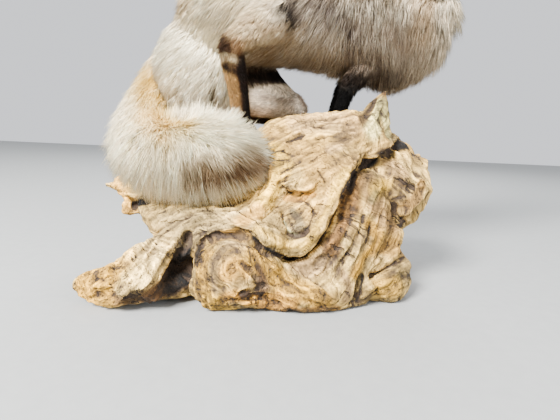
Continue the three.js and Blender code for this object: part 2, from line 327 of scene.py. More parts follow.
class Noise:
    """Smooth value noise in three dimensions, made from a fixed table of seeded numbers."""

    ENTRIES = 4096
    PRIMES = (73856093, 19349663, 83492791)

    def __init__(self, seed: int) -> None:
        """Fills the table for the pattern that the seed names."""
        self.table = np.random.default_rng(seed).random(self.ENTRIES)

    def _corner(self, cell: Array) -> Array:
        """The table's value for each whole-number cell."""
        x, y, z = (cell[:, k] * prime for k, prime in enumerate(self.PRIMES))
        return self.table[(x ^ y ^ z) & (self.ENTRIES - 1)]

    def at(self, points: Array, scale: float) -> Array:
        """One octave of noise.

        Args:
            points: the places.
            scale: the size of a cell.

        Returns:
            Values from -1 to 1.
        """
        scaled = points / scale
        cell = np.floor(scaled).astype(np.int64)
        part = scaled - cell
        part = part * part * (3.0 - 2.0 * part)
        total = np.zeros(len(points))
        for corner in range(8):
            offset = np.array([corner & 1, corner >> 1 & 1, corner >> 2 & 1])
            weight = np.prod(np.where(offset == 1, part, 1.0 - part), axis=1)
            total += weight * self._corner(cell + offset)
        return total * 2.0 - 1.0

    def rough(self, points: Array, scale: float, octaves: int = 3) -> Array:
        """Several octaves, each half the size and strength of the one before."""
        return sum(self.at(points + 7.3 * k, scale / 2**k) / 2**k for k in range(octaves))


class Line:
    """A smooth line through stations that each hold several numbers."""

    def __init__(self, stations: Stations) -> None:
        """Keeps the stations, whose first three numbers are the place."""
        self.rows = np.array(stations, float)

    def at(self, t: Array) -> Array:
        """Catmull-Rom values.

        Args:
            t: from 0 at the first station to 1 at the last.

        Returns:
            One row of numbers for each t.
        """
        last = len(self.rows) - 1
        place = np.clip(np.asarray(t, float), 0.0, 1.0) * last
        start = np.minimum(place.astype(int), last - 1)
        u = (place - start)[:, None]
        row = [self.rows[np.clip(start + k, 0, last)] for k in (-1, 0, 1, 2)]
        return 0.5 * (
            2 * row[1]
            + (row[2] - row[0]) * u
            + (2 * row[0] - 5 * row[1] + 4 * row[2] - row[3]) * u**2
            + (3 * row[1] - row[0] - 3 * row[2] + row[3]) * u**3
        )

    def axes(self, t: Array, upright: Triple) -> tuple[Array, Array, Array]:
        """The directions along, across and over the line.

        Args:
            t: from 0 at the first station to 1 at the last.
            upright: the way that over leans to.

        Returns:
            Three unit directions for each t.
        """
        step, end = 1e-3, 2e-3
        inner = np.clip(t, end, 1.0 - end)
        along = unit(self.at(inner + step)[:, :3] - self.at(inner - step)[:, :3])
        across = unit(np.cross(np.array(upright), along))
        return along, across, unit(np.cross(along, across))


# ---------------- where things are


class Home:
    """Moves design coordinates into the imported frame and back."""

    NOSE_TIP_X = 0.4513

    def __init__(self) -> None:
        """Reads the nose's place in the frame, which gives the shift."""
        low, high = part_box("nose")
        self.shift = np.array([high.x - self.NOSE_TIP_X, (low.y + high.y) / 2, 0.0])

    def put(self, points: Array | Sequence[float]) -> Array:
        """Design coordinates to the frame's."""
        return np.asarray(points, float) + self.shift

    def back(self, points: Array) -> Array:
        """The frame's coordinates to design ones."""
        return np.asarray(points, float) - self.shift


@dataclass(frozen=True)
class Viewpoint:
    """The camera: a wide lens just over the wood, tilted down, with a slight roll."""

    home: Home
    place: Triple = (0.0, -0.7525, 0.243)
    focal_px: float = 413.0
    width_px: int = 560
    height_px: int = 420
    sink: float = 0.187
    lean: float = 0.0445
    sensor_mm: float = 36.0
    nearest: float = 0.02

    def axes(self) -> tuple[Array, Array, Array]:
        """The camera's right, down and forward directions.

        Returns:
            Three unit directions.
        """
        level = math.sqrt(1.0 - self.sink**2)
        sin_roll = self.lean / level
        cos_roll = math.sqrt(1.0 - sin_roll**2)
        right = np.array([cos_roll, sin_roll * self.sink, sin_roll * level])
        down = np.array([sin_roll, -cos_roll * self.sink, -cos_roll * level])
        forward = np.array([0.0, level, -self.sink])
        return right, down, forward

    def origin(self) -> Array:
        """The camera's place in the frame."""
        return self.home.put(self.place)

    def ray(self, pixel: Pixel) -> Array:
        """The direction through one place in the camera's frame.

        Args:
            pixel: the place across and down the frame.

        Returns:
            The unit direction.
        """
        right, down, forward = self.axes()
        across = (pixel[0] - self.width_px / 2) / self.focal_px
        below = (pixel[1] - self.height_px / 2) / self.focal_px
        return unit(forward + right * across + down * below)

    def pixel(self, points: Array) -> tuple[Array, Array]:
        """Where places fall in the camera's frame, and the unit direction to each.

        Args:
            points: the places.

        Returns:
            The places in the frame, and the directions.
        """
        right, down, forward = self.axes()
        gap = points - np.array(self.origin())
        depth = gap @ forward
        across = self.width_px / 2 + self.focal_px * (gap @ right) / depth
        below = self.height_px / 2 + self.focal_px * (gap @ down) / depth
        return np.stack([across, below], 1), unit(gap)

    def build(self) -> Item:
        """Adds the camera and makes it the scene's.

        Returns:
            The camera.
        """
        right, down, forward = self.axes()
        data = bpy.data.cameras.new("viewpoint")
        data.lens = self.focal_px / self.width_px * self.sensor_mm
        data.sensor_width = self.sensor_mm
        data.clip_start = self.nearest
        camera = bpy.data.objects.new("viewpoint", data)
        bpy.context.scene.collection.objects.link(camera)
        columns = Matrix((right, -down, -forward)).transposed()
        camera.matrix_world = Matrix.Translation(self.origin()) @ columns.to_4x4()
        bpy.context.scene.camera = camera
        return camera


# ---------------- shaders


class Socket:
    """A shader value that adds its own Math nodes when it is used in an expression."""

    def __init__(self, maker: "Shader", source: bpy.types.NodeSocket) -> None:
        """Wraps a node's output.

        Args:
            maker: the material it belongs to.
            source: the output socket.
        """
        self.maker = maker
        self.source = source

    def _math(self, operation: str, *values: "Socket | float") -> "Socket":
        """A Math node on the values."""
        inputs = dict(enumerate(values))
        return self.maker.node("ShaderNodeMath", {"operation": operation}, inputs)

    def __add__(self, other: "Socket | float") -> "Socket":
        """The sum."""
        return self._math("ADD", self, other)

    def __radd__(self, other: float) -> "Socket":
        """The sum, number first."""
        return self._math("ADD", other, self)

    def __sub__(self, other: "Socket | float") -> "Socket":
        """The difference."""
        return self._math("SUBTRACT", self, other)

    def __rsub__(self, other: float) -> "Socket":
        """The difference, number first."""
        return self._math("SUBTRACT", other, self)

    def __mul__(self, other: "Socket | float") -> "Socket":
        """The product."""
        return self._math("MULTIPLY", self, other)

    def __rmul__(self, other: float) -> "Socket":
        """The product, number first."""
        return self._math("MULTIPLY", other, self)

    def power(self, exponent: float) -> "Socket":
        """The value raised to an exponent."""
        return self._math("POWER", self, exponent)

    def ramp(self, low: float, high: float, start: float = 0.0, end: float = 1.0) -> "Socket":
        """A soft step of the value between low and high, from start to end.

        Args:
            low: the value at which the step starts.
            high: the value at which it ends.
            start: the result at low.
            end: the result at high.

        Returns:
            The stepped value.
        """
        settings = {"interpolation_type": "SMOOTHSTEP"}
        inputs = {"Value": self, 1: low, 2: high, 3: start, 4: end}
        return self.maker.node("ShaderNodeMapRange", settings, inputs)


class Shader:
    """One procedural material, built node by node."""

    def __init__(self, name: str, **constants: object) -> None:
        """Starts a Principled material.

        Args:
            name: the material's name.
            constants: values set on the shader's own sockets, with underscores for spaces.
        """
        self.material = bpy.data.materials.new(name)
        self.material.use_nodes = True
        self.tree = self.material.node_tree
        self.surface = self.tree.nodes["Principled BSDF"]
        for key, value in constants.items():
            self.surface.inputs[key.replace("_", " ")].default_value = value

    def node(
        self,
        kind: str,
        settings: dict[str, object] | None = None,
        inputs: dict[str | int, object] | None = None,
        output: str | int = 0,
    ) -> Socket:
        """Adds a node of any type.

        Args:
            kind: the node's type.
            settings: its properties, set first.
            inputs: values or links of its sockets, by name or number.
            output: the output wanted.

        Returns:
            The wrapped output.
        """
        made = self.tree.nodes.new(kind)
        for key, value in (settings or {}).items():
            setattr(made, key, value)
        for key, value in (inputs or {}).items():
            if isinstance(value, Socket):
                self.tree.links.new(value.source, made.inputs[key])
            else:
                made.inputs[key].default_value = value
        return Socket(self, made.outputs[output])

    def mix(self, factor: Socket, first: Socket | Rgba, second: Socket | Rgba) -> Socket:
        """Mixes two colours.

        Args:
            factor: how much of the second colour there is.
            first: the colour at 0.
            second: the colour at 1.

        Returns:
            The mixed colour.
        """
        made = self.tree.nodes.new("ShaderNodeMix")
        made.data_type = "RGBA"
        for key, value in (("Factor", factor), ("A", first), ("B", second)):
            sockets = [s for s in made.inputs if s.name == key and s.enabled]
            if isinstance(value, Socket):
                self.tree.links.new(value.source, sockets[0])
            else:
                sockets[0].default_value = value
        return Socket(self, [s for s in made.outputs if s.enabled][0])

    def attribute(self, name: str, output: str = "Fac") -> Socket:
        """A named attribute of the piece's own mesh."""
        return self.node("ShaderNodeAttribute", {"attribute_name": name}, output=output)

    def axis(self, vector: Socket, number: int) -> Socket:
        """One of a vector's three parts."""
        return self.node("ShaderNodeSeparateXYZ", None, {0: vector}, number)

    def lit(self, colour: Socket, light: Socket) -> Socket:
        """A colour made lighter or darker by a number."""
        inputs = {0: colour, "Scale": light}
        return self.node("ShaderNodeVectorMath", {"operation": "SCALE"}, inputs)

    def place(self) -> Socket:
        """Object coordinates."""
        return self.node("ShaderNodeTexCoord", output="Object")

    def noise(self, vector: Socket, scale: float, detail: float, rough: float = 0.5) -> Socket:
        """Noise on a vector, centred near one half."""
        inputs = {"Vector": vector, "Scale": scale, "Detail": detail, "Roughness": rough}
        return self.node("ShaderNodeTexNoise", None, inputs)

    def stretch(self, vector: Socket, scale: Triple) -> Socket:
        """A vector scaled along its axes."""
        return self.node("ShaderNodeMapping", None, {"Vector": vector, "Scale": scale})

    def feed(self, socket: str, value: Socket) -> None:
        """Links a value to one of the surface's sockets."""
        self.tree.links.new(value.source, self.surface.inputs[socket])

    def bump(self, height: Socket, strength: float, distance: float) -> None:
        """Raises the surface's normal by a height."""
        inputs = {"Height": height, "Strength": strength, "Distance": distance}
        self.feed("Normal", self.node("ShaderNodeBump", None, inputs))


# ---------------- the studio


@dataclass(frozen=True)
class AreaLamp:
    """A soft square light."""

    name: str
    place: Triple
    target: Triple
    size: float
    watts: float
    colour: Triple = (1.0, 1.0, 1.0)

    def build(self, home: Home) -> None:
        """Adds the light, pointed at its target.

        Args:
            home: moves design coordinates into the frame.
        """
        data = bpy.data.lights.new(self.name, "AREA")
        data.shape = "SQUARE"
        data.size = self.size
        data.energy = self.watts
        data.color = self.colour
        lamp = bpy.data.objects.new(self.name, data)
        bpy.context.scene.collection.objects.link(lamp)
        place = Vector(home.put(self.place))
        aim = Vector(home.put(self.target)) - place
        turn = aim.to_track_quat("-Z", "Y").to_matrix().to_4x4()
        lamp.matrix_world = Matrix.Translation(place) @ turn


@dataclass(frozen=True)
class FloorFinish:
    """Matt grey paint with a faint cloud in it."""

    dark: Rgba = (0.25, 0.26, 0.26, 1.0)
    light: Rgba = (0.29, 0.30, 0.30, 1.0)
    scale: float = 60.0

    def build(self) -> Material:
        """The material.

        Returns:
            The finished material.
        """
        paint = Shader("floor_paint", Roughness=0.75)
        grain = paint.noise(paint.place(), self.scale, 2.0)
        paint.feed("Base Color", paint.mix(grain, self.dark, self.light))
        return paint.material


@dataclass
class Studio:
    """A plain pale floor under soft light, brightest from the upper left."""

    home: Home
    floor_half: float = 4.0
    sky: Rgba = (0.93, 0.95, 1.0, 1.0)
    sky_strength: float = 1.15
    lamps: tuple[AreaLamp, ...] = (
        AreaLamp("key", (-1.35, -2.0, 1.9), (0.0, 0.0, 0.25), 0.9, 620.0, (1.0, 0.98, 0.95)),
        AreaLamp("fill", (1.9, -1.5, 1.1), (0.0, 0.0, 0.3), 1.8, 60.0),
        AreaLamp("back", (0.3, 2.2, 1.9), (0.0, 0.0, 0.4), 1.6, 90.0),
    )

    def build(self) -> None:
        """Adds the floor, the lamps and the world's light."""
        bpy.ops.mesh.primitive_plane_add(size=2 * self.floor_half, location=(0, 0, 0))
        floor = bpy.context.active_object
        floor.name = "floor"
        floor.data.materials.append(FloorFinish().build())
        for lamp in self.lamps:
            lamp.build(self.home)
        world = bpy.context.scene.world or bpy.data.worlds.new("studio")
        bpy.context.scene.world = world
        world.use_nodes = True
        background = world.node_tree.nodes["Background"]
        background.inputs["Color"].default_value = self.sky
        background.inputs["Strength"].default_value = self.sky_strength


# ---------------- the skin under the coat


class Upright(Enum):
    """Which way a limb's section calls over."""

    SKY = (0.0, 0.0, 1.0)
    FRONT = (1.0, 0.0, 0.0)
    EAR_LEFT = (0.788, 0.616, 0.0)
    EAR_RIGHT = (0.788, -0.616, 0.0)


@dataclass
class Limb:
    """A body part as a closed ball drawn out along a line.

    Each station is x, y, z, half width, reach over and reach under the line, in millimetres.
    """

    stations: Stations
    upright: Upright = Upright.SKY
    sides: int = 28
    rings: int = 40
    cap: float = 0.12
    curl: float = 0.0
    cup_edge: float = 0.6

    def build(self, home: Home, place: Callable[[Array], Array] | None = None) -> Item:
        """Shapes a ball into the limb.

        Args:
            home: moves design coordinates into the frame.
            place: moves the limb's own coordinates into design ones, where they differ.

        Returns:
            The limb as a closed mesh.
        """
        limb = ball(self.sides, self.rings)
        x, y, z = points_of(limb.data).T
        share = np.arccos(np.clip(z, -1.0, 1.0)) / math.pi
        around = np.arctan2(y, x)
        body = np.clip((share - self.cap) / (1.0 - 2.0 * self.cap), 0.0, 1.0)
        outside = np.where(share < self.cap, share / self.cap - 1.0, 0.0)
        outside = np.where(share > 1 - self.cap, 1.0 - (1 - share) / self.cap, outside)
        line = Line(np.array(self.stations, float) * MM)
        row = line.at(body)
        along, across, over = line.axes(body, self.upright.value)
        dome = np.sqrt(np.clip(1.0 - outside**2, 0.0, 1.0))
        width, top, bottom = row[:, 3], row[:, 4], row[:, 5]
        lift = np.sin(around)
        reach = np.where(lift > 0, top, bottom)
        rounded = np.sign(lift) * np.abs(lift) ** self.cup_edge
        full = np.where((top < 0) & (lift < 0), rounded, lift)
        points = row[:, :3] + across * (width * dome * np.cos(around))[:, None]
        points += over * (reach * dome * full + self.curl * width * np.cos(around) ** 2)[:, None]
        least = np.minimum(np.minimum(width, np.abs(top)), bottom)
        points += along * (outside * least)[:, None]
        if place is not None:
            points = place(points)
        set_points(limb.data, home.put(points))
        return limb


@dataclass(frozen=True)
class Skull:
    """Where the head's own axes lie: x from the nape to the nose, z to the crown."""

    nape: Triple = (0.296, 0.0, 0.640)
    dip_degrees: float = 14.0

    def _turn(self) -> Array:
        """The rotation that dips the head.

        Returns:
            The matrix.
        """
        angle = math.radians(self.dip_degrees)
        sine, cosine = math.sin(angle), math.cos(angle)
        return np.array([[cosine, 0, sine], [0, 1, 0], [-sine, 0, cosine]])

    def out(self, points: Array) -> Array:
        """Head coordinates to design coordinates."""
        return points @ self._turn().T + np.array(self.nape)

    def out_way(self, directions: Array) -> Array:
        """Directions in the head to directions in the design."""
        return self.out(directions) - np.array(self.nape)

    def into(self, points: Array) -> Array:
        """Design coordinates to head coordinates."""
        return (points - np.array(self.nape)) @ self._turn()


# ---------------- driftwood


class Tool(Enum):
    """What a stroke does to the wood."""

    GROOVE = "groove"
    RIDGE = "ridge"
    SHEET = "sheet"


@dataclass(frozen=True)
class Stroke:
    """A carved line, whose path is drawn in the camera's frame; its sizes are in millimetres.

    A sheet stands proud on the left of its path and casts a crevice on the right.
    """

    tool: Tool
    path: Path
    width: float
    depth: float
    fall: float = 0.0

    @classmethod
    def of(cls, tool: Tool, width: float, depth: float, fall: float, *path: float) -> "Stroke":
        """The stroke that one row of the table gives."""
        return cls(tool, pairs(path), width, depth, fall)


@dataclass(frozen=True)
class Dab:
    """A round swelling or hollow in millimetres, at a place in the camera's frame."""

    at: Pixel
    radius: float
    height: float


@dataclass(frozen=True)
class StainAndShade:
    """A soft patch of colour along a path, as wide as its radius in millimetres. The dark ones in
    the grooves, hollows and crevices are painted shade.
    """

    path: Path
    radius: float
    colour: Colour
    strength: float = 1.0
    decay: float = 0.0

    @classmethod
    def of(
        cls, radius: float, colour: Colour, strength: float, decay: float, *path: float
    ) -> "StainAndShade":
        """The patch that one row of the table gives."""
        return cls(pairs(path), radius, colour, strength, decay)


@dataclass(frozen=True)
class Trace:
    """A path laid on a surface: places, outward normals, directions and shares of its length."""

    places: Array
    normals: Array
    along: Array
    share: Array

    def near(self, points: Array, reach: float) -> tuple[Array, Array, Array, Array]:
        """Finds the points close to the path.

        Args:
            points: places to test.
            reach: how close.

        Returns:
            The points' numbers, their distance, their signed distance to the left, and the
            number of the nearest place on the path.
        """
        low = self.places.min(0) - reach
        high = self.places.max(0) + reach
        picked = np.nonzero(np.all((points > low) & (points < high), axis=1))[0]
        if len(picked) == 0:
            return picked, np.zeros(0), np.zeros(0), np.zeros(0, int)
        gap = points[picked][:, None, :] - self.places[None, :, :]
        distance = np.linalg.norm(gap, axis=2)
        nearest = distance.argmin(1)
        rows = np.arange(len(picked))
        left = np.cross(self.normals[nearest], self.along[nearest])
        side = dot(gap[rows, nearest], left)
        best = distance[rows, nearest]
        keep = best < reach
        return picked[keep], best[keep], side[keep], nearest[keep]

    def ends(self, nearest: Array, fade: float) -> Array:
        """How far inside the path's two ends each nearest place is, from 0 to 1."""
        share = self.share[nearest]
        return smoothstep(0.0, fade, share) * smoothstep(0.0, fade, 1.0 - share)


class Caster:
    """Lays paths that are drawn in the camera's frame onto a surface."""

    def __init__(self, points: Array, triangles: Array, viewpoint: Viewpoint) -> None:
        """Prepares the surface.

        Args:
            points: its vertices.
            triangles: its faces.
            viewpoint: where the paths are drawn from.
        """
        self.viewpoint = viewpoint
        self.origin = viewpoint.origin()
        self.tree = BVHTree.FromPolygons(points.tolist(), triangles.tolist())

    def hit(self, pixel: Pixel) -> tuple[Array, Array] | None:
        """The place and normal under a pixel, or None past the outline.

        Args:
            pixel: the place in the camera's frame.

        Returns:
            The place and the normal on the surface.
        """
        direction = self.viewpoint.ray(pixel)
        place, normal, _, _ = self.tree.ray_cast(Vector(self.origin), Vector(direction))
        if place is None:
            return None
        facing = np.array(normal)
        return np.array(place), facing if facing @ direction < 0 else -facing

    def trace(self, path: Path, step: float = 1.5) -> Trace | None:
        """Lays a smooth path on the surface.

        Args:
            path: its places in the camera's frame.
            step: the spacing of the traced places, in the same unit.

        Returns:
            The traced path, or None where it misses the surface.
        """
        rows = np.array([(u, v, 0.0) for u, v in path])
        length = float(np.linalg.norm(np.diff(rows, axis=0), axis=1).sum())
        count = max(3, int(length / step))
        if len(rows) > 1:
            drawn = Line(rows).at(np.linspace(0, 1, count))
        else:
            drawn = rows
        hits = [self.hit((row[0], row[1])) for row in drawn]
        found = [item for item in hits if item is not None]
        if not found:
            return None
        places = np.array([place for place, _ in found])
        normals = unit(np.array([normal for _, normal in found]))
        if len(places) > 1:
            along = unit(np.gradient(places, axis=0))
        else:
            along = np.array([[1.0, 0.0, 0.0]])
        return Trace(places, normals, along, np.linspace(0, 1, len(places)))


def store(mesh: Mesh, name: str, values: Array) -> None:
    """Keeps one value, vector or colour for each vertex.

    Args:
        mesh: the mesh.
        name: the attribute's name.
        values: one row for each vertex; one column is a number, three a vector, four a colour.
    """
    columns = 1 if values.ndim == 1 else values.shape[1]
    kinds = {1: ("FLOAT", "value"), 3: ("FLOAT_VECTOR", "vector"), 4: ("FLOAT_COLOR", "color")}
    kind, key = kinds[columns]
    made = mesh.attributes.new(name, kind, "POINT")
    made.data.foreach_set(key, values.astype(np.float32).ravel())


G, R, S = Tool.GROOVE, Tool.RIDGE, Tool.SHEET


# Each stroke: its tool, its width, depth and fall in millimetres, then its path's points in the
# camera's frame, across and down.
STROKES = (
    (S, 8, 15, 60, 243, 232, 263, 243, 273, 250, 288, 255, 299, 253, 309, 246, 321, 230, 331, 211,
     338, 197, 345, 180, 352, 167, 358, 161, 373, 155, 381, 150, 391, 146, 404, 134),
    (S, 6, 9, 36, 198, 248, 202, 241, 210, 235, 222, 231, 240, 230, 254, 236),
    (S, 6, 12, 30, 201, 246, 195, 258, 192, 272, 193, 290, 202, 306),
    (S, 5, 8, 22, 338, 299, 322, 291, 302, 277, 286, 264, 272, 254),
    (G, 5, 15, 0, 264, 245, 276, 252, 290, 257, 302, 254, 312, 245, 322, 231),
    (R, 8, 9, 0, 274, 160, 275, 178, 270, 194, 260, 206, 246, 216, 222, 222),
    (R, 6, 5, 0, 255, 229, 268, 232, 284, 244, 300, 244, 314, 230, 326, 208, 335, 190),
    (G, 4, 7, 0, 280, 204, 270, 214, 260, 222), (G, 3, 3.5, 0, 262, 196, 250, 207, 236, 214),
    (S, 4, 9, 14, 283, 184, 292, 190, 304, 191, 314, 186),
    (G, 5, 10, 0, 286, 191, 298, 196, 312, 193), (G, 2, 7, 0, 279, 175, 290, 168, 302, 160),
    (G, 2.6, 9, 0, 288, 143, 296, 140, 304, 136), (G, 2.6, 6, 0, 265, 149, 272, 153, 282, 150),
    (G, 2.4, 5, 0, 283, 153, 294, 155), (G, 2.2, 4, 0, 268, 158, 276, 160, 286, 158),
    (G, 1.8, 5, 0, 310, 162, 320, 156, 328, 149), (G, 1.6, 5, 0, 333, 156, 337, 164),
    (G, 1.8, 5, 0, 319, 172, 325, 181), (G, 2.5, 2.6, 0, 270, 140, 290, 128, 316, 121, 342, 124),
    (G, 2.2, 2.4, 0, 282, 136, 306, 128, 334, 130, 352, 134),
    (G, 2.2, 2.6, 0, 300, 150, 322, 142, 344, 142),
    (G, 2.6, 9, 0, 290, 205, 300, 202, 309, 204, 313, 212, 311, 224, 304, 236, 294, 236, 285, 229,
     282, 218, 286, 209),
    (G, 2, 5, 0, 287, 216, 291, 226, 297, 233),
    (G, 5, 16, 0, 188, 232, 185, 243, 181, 256, 178, 270),
    (G, 12, 34, 0, 181, 260, 178, 274, 174, 290), (G, 7, 24, 0, 190, 258, 188, 270, 184, 284),
    (G, 2.6, 7, 0, 197, 230, 190, 241, 183, 254),
    (G, 2.6, 4, 0, 250, 212, 222, 212, 186, 219, 164, 234, 150, 254, 132, 276),
    (G, 2.4, 3.6, 0, 238, 206, 206, 210, 176, 220, 156, 236, 138, 258),
    (G, 2.4, 4, 0, 244, 222, 214, 224, 192, 230, 178, 244, 164, 262, 150, 284),
    (G, 2.2, 4, 0, 216, 204, 190, 207, 168, 216), (G, 2.4, 3, 0, 150, 244, 136, 256, 118, 268),
    (G, 2, 5, 0, 116, 286, 124, 285, 132, 281),
    (S, 4, 7, 22, 120, 312, 121, 300, 128, 293, 144, 288, 158, 274),
    (G, 3.4, 8, 0, 94, 293, 103, 296, 112, 292), (G, 2.6, 4, 0, 90, 283, 98, 279, 107, 281),
    (G, 2.2, 3, 0, 196, 288, 206, 292, 217, 291),
    (G, 2, 4.5, 0, 205, 288, 203, 268, 207, 252, 217, 242, 232, 237),
    (G, 2, 5, 0, 213, 286, 211, 268, 216, 253, 227, 245, 242, 243, 256, 250),
    (G, 2, 4.5, 0, 221, 284, 219, 268, 225, 257, 236, 250, 250, 252, 262, 262),
    (G, 2.6, 8, 0, 238, 296, 248, 292, 258, 290, 266, 286),
    (G, 2.8, 8, 0, 240, 302, 252, 300, 266, 300, 284, 306),
    (G, 2.4, 7, 0, 240, 262, 250, 270, 260, 282),
    (R, 4, 4.5, 0, 258, 258, 282, 277, 306, 292, 330, 302),
    (G, 1.8, 4, 0, 289, 211, 294, 221, 300, 231), (G, 1.8, 4, 0, 297, 206, 302, 215, 306, 226),
    (G, 2.2, 5, 0, 264, 264, 282, 280, 302, 293, 324, 302),
    (G, 2.2, 4.5, 0, 268, 276, 284, 288, 304, 298, 322, 307),
    (G, 2.2, 4, 0, 262, 290, 280, 296, 300, 304), (G, 1.8, 5, 0, 320, 264, 328, 256, 336, 247),
    (G, 1.8, 4, 0, 314, 272, 326, 262), (G, 3, 15, 0, 370, 278, 383, 270, 397, 262, 408, 254),
    (G, 5, 16, 0, 358, 300, 360, 288, 363, 275), (G, 2.4, 9, 0, 350, 195, 353, 186, 355, 178),
    (G, 1.8, 6, 0, 395, 179, 402, 186, 411, 192), (G, 1.6, 5, 0, 398, 175, 403, 183, 409, 181),
    (G, 1.8, 5, 0, 395, 199, 404, 197), (G, 2.6, 4, 0, 348, 196, 338, 222, 324, 250, 310, 276),
    (G, 2.6, 4.5, 0, 356, 200, 348, 228, 334, 258, 318, 284),
    (G, 2.6, 4.5, 0, 364, 210, 358, 234, 344, 262, 330, 288),
    (G, 2.6, 4, 0, 372, 216, 366, 242, 354, 266, 346, 290),
    (G, 2.4, 3.6, 0, 384, 206, 380, 228, 372, 252, 362, 270),
    (G, 2.4, 3.6, 0, 396, 206, 392, 226, 384, 246),
    (R, 6, 5, 0, 366, 228, 362, 246, 352, 268, 346, 286),
    (G, 1.8, 8, 0, 371, 277, 386, 268, 398, 261, 409, 253),
    (R, 5, 5, 0, 366, 289, 384, 281, 402, 270), (R, 6, 6, 0, 372, 262, 386, 256, 402, 248),
    (R, 6, 6, 0, 404, 136, 414, 150, 424, 164), (R, 7, 9, 0, 416, 176, 424, 184, 431, 192),
    (R, 5, 7, 0, 425, 196, 412, 208, 402, 216), (G, 4, 6, 0, 420, 172, 414, 182, 412, 194),
    (G, 3, 4, 0, 366, 120, 371, 110, 376, 100), (G, 2.4, 2.6, 0, 378, 128, 381, 114, 383, 100),
    (G, 3, 6, 0, 112, 206, 106, 196), (S, 5, 8, 20, 107, 172, 118, 182, 126, 194, 140, 198),
    (G, 7, 26, 0, 128, 205, 140, 203, 148, 201),
)
DABS: tuple[Dab, ...] = (
    Dab((365, 163), 9, -34), Dab((401, 146), 9, -20), Dab((399, 222), 6, -10),
    Dab((388, 172), 6, -6), Dab((246, 283), 9, 6), Dab((177, 276), 14, -24),
    Dab((298, 221), 9, -5), Dab((297, 176), 15, 8), Dab((380, 186), 13, 6),
    Dab((350, 205), 17, -9), Dab((330, 268), 24, -8), Dab((243, 262), 14, 4),
    Dab((210, 300), 20, 8), Dab((232, 312), 8, 8), Dab((230, 222), 26, -6),
    Dab((285, 202), 13, -9), Dab((98, 280), 18, 5), Dab((432, 184), 9, 7), Dab((424, 166), 10, 5),
    Dab((322, 114), 8, 4),
)
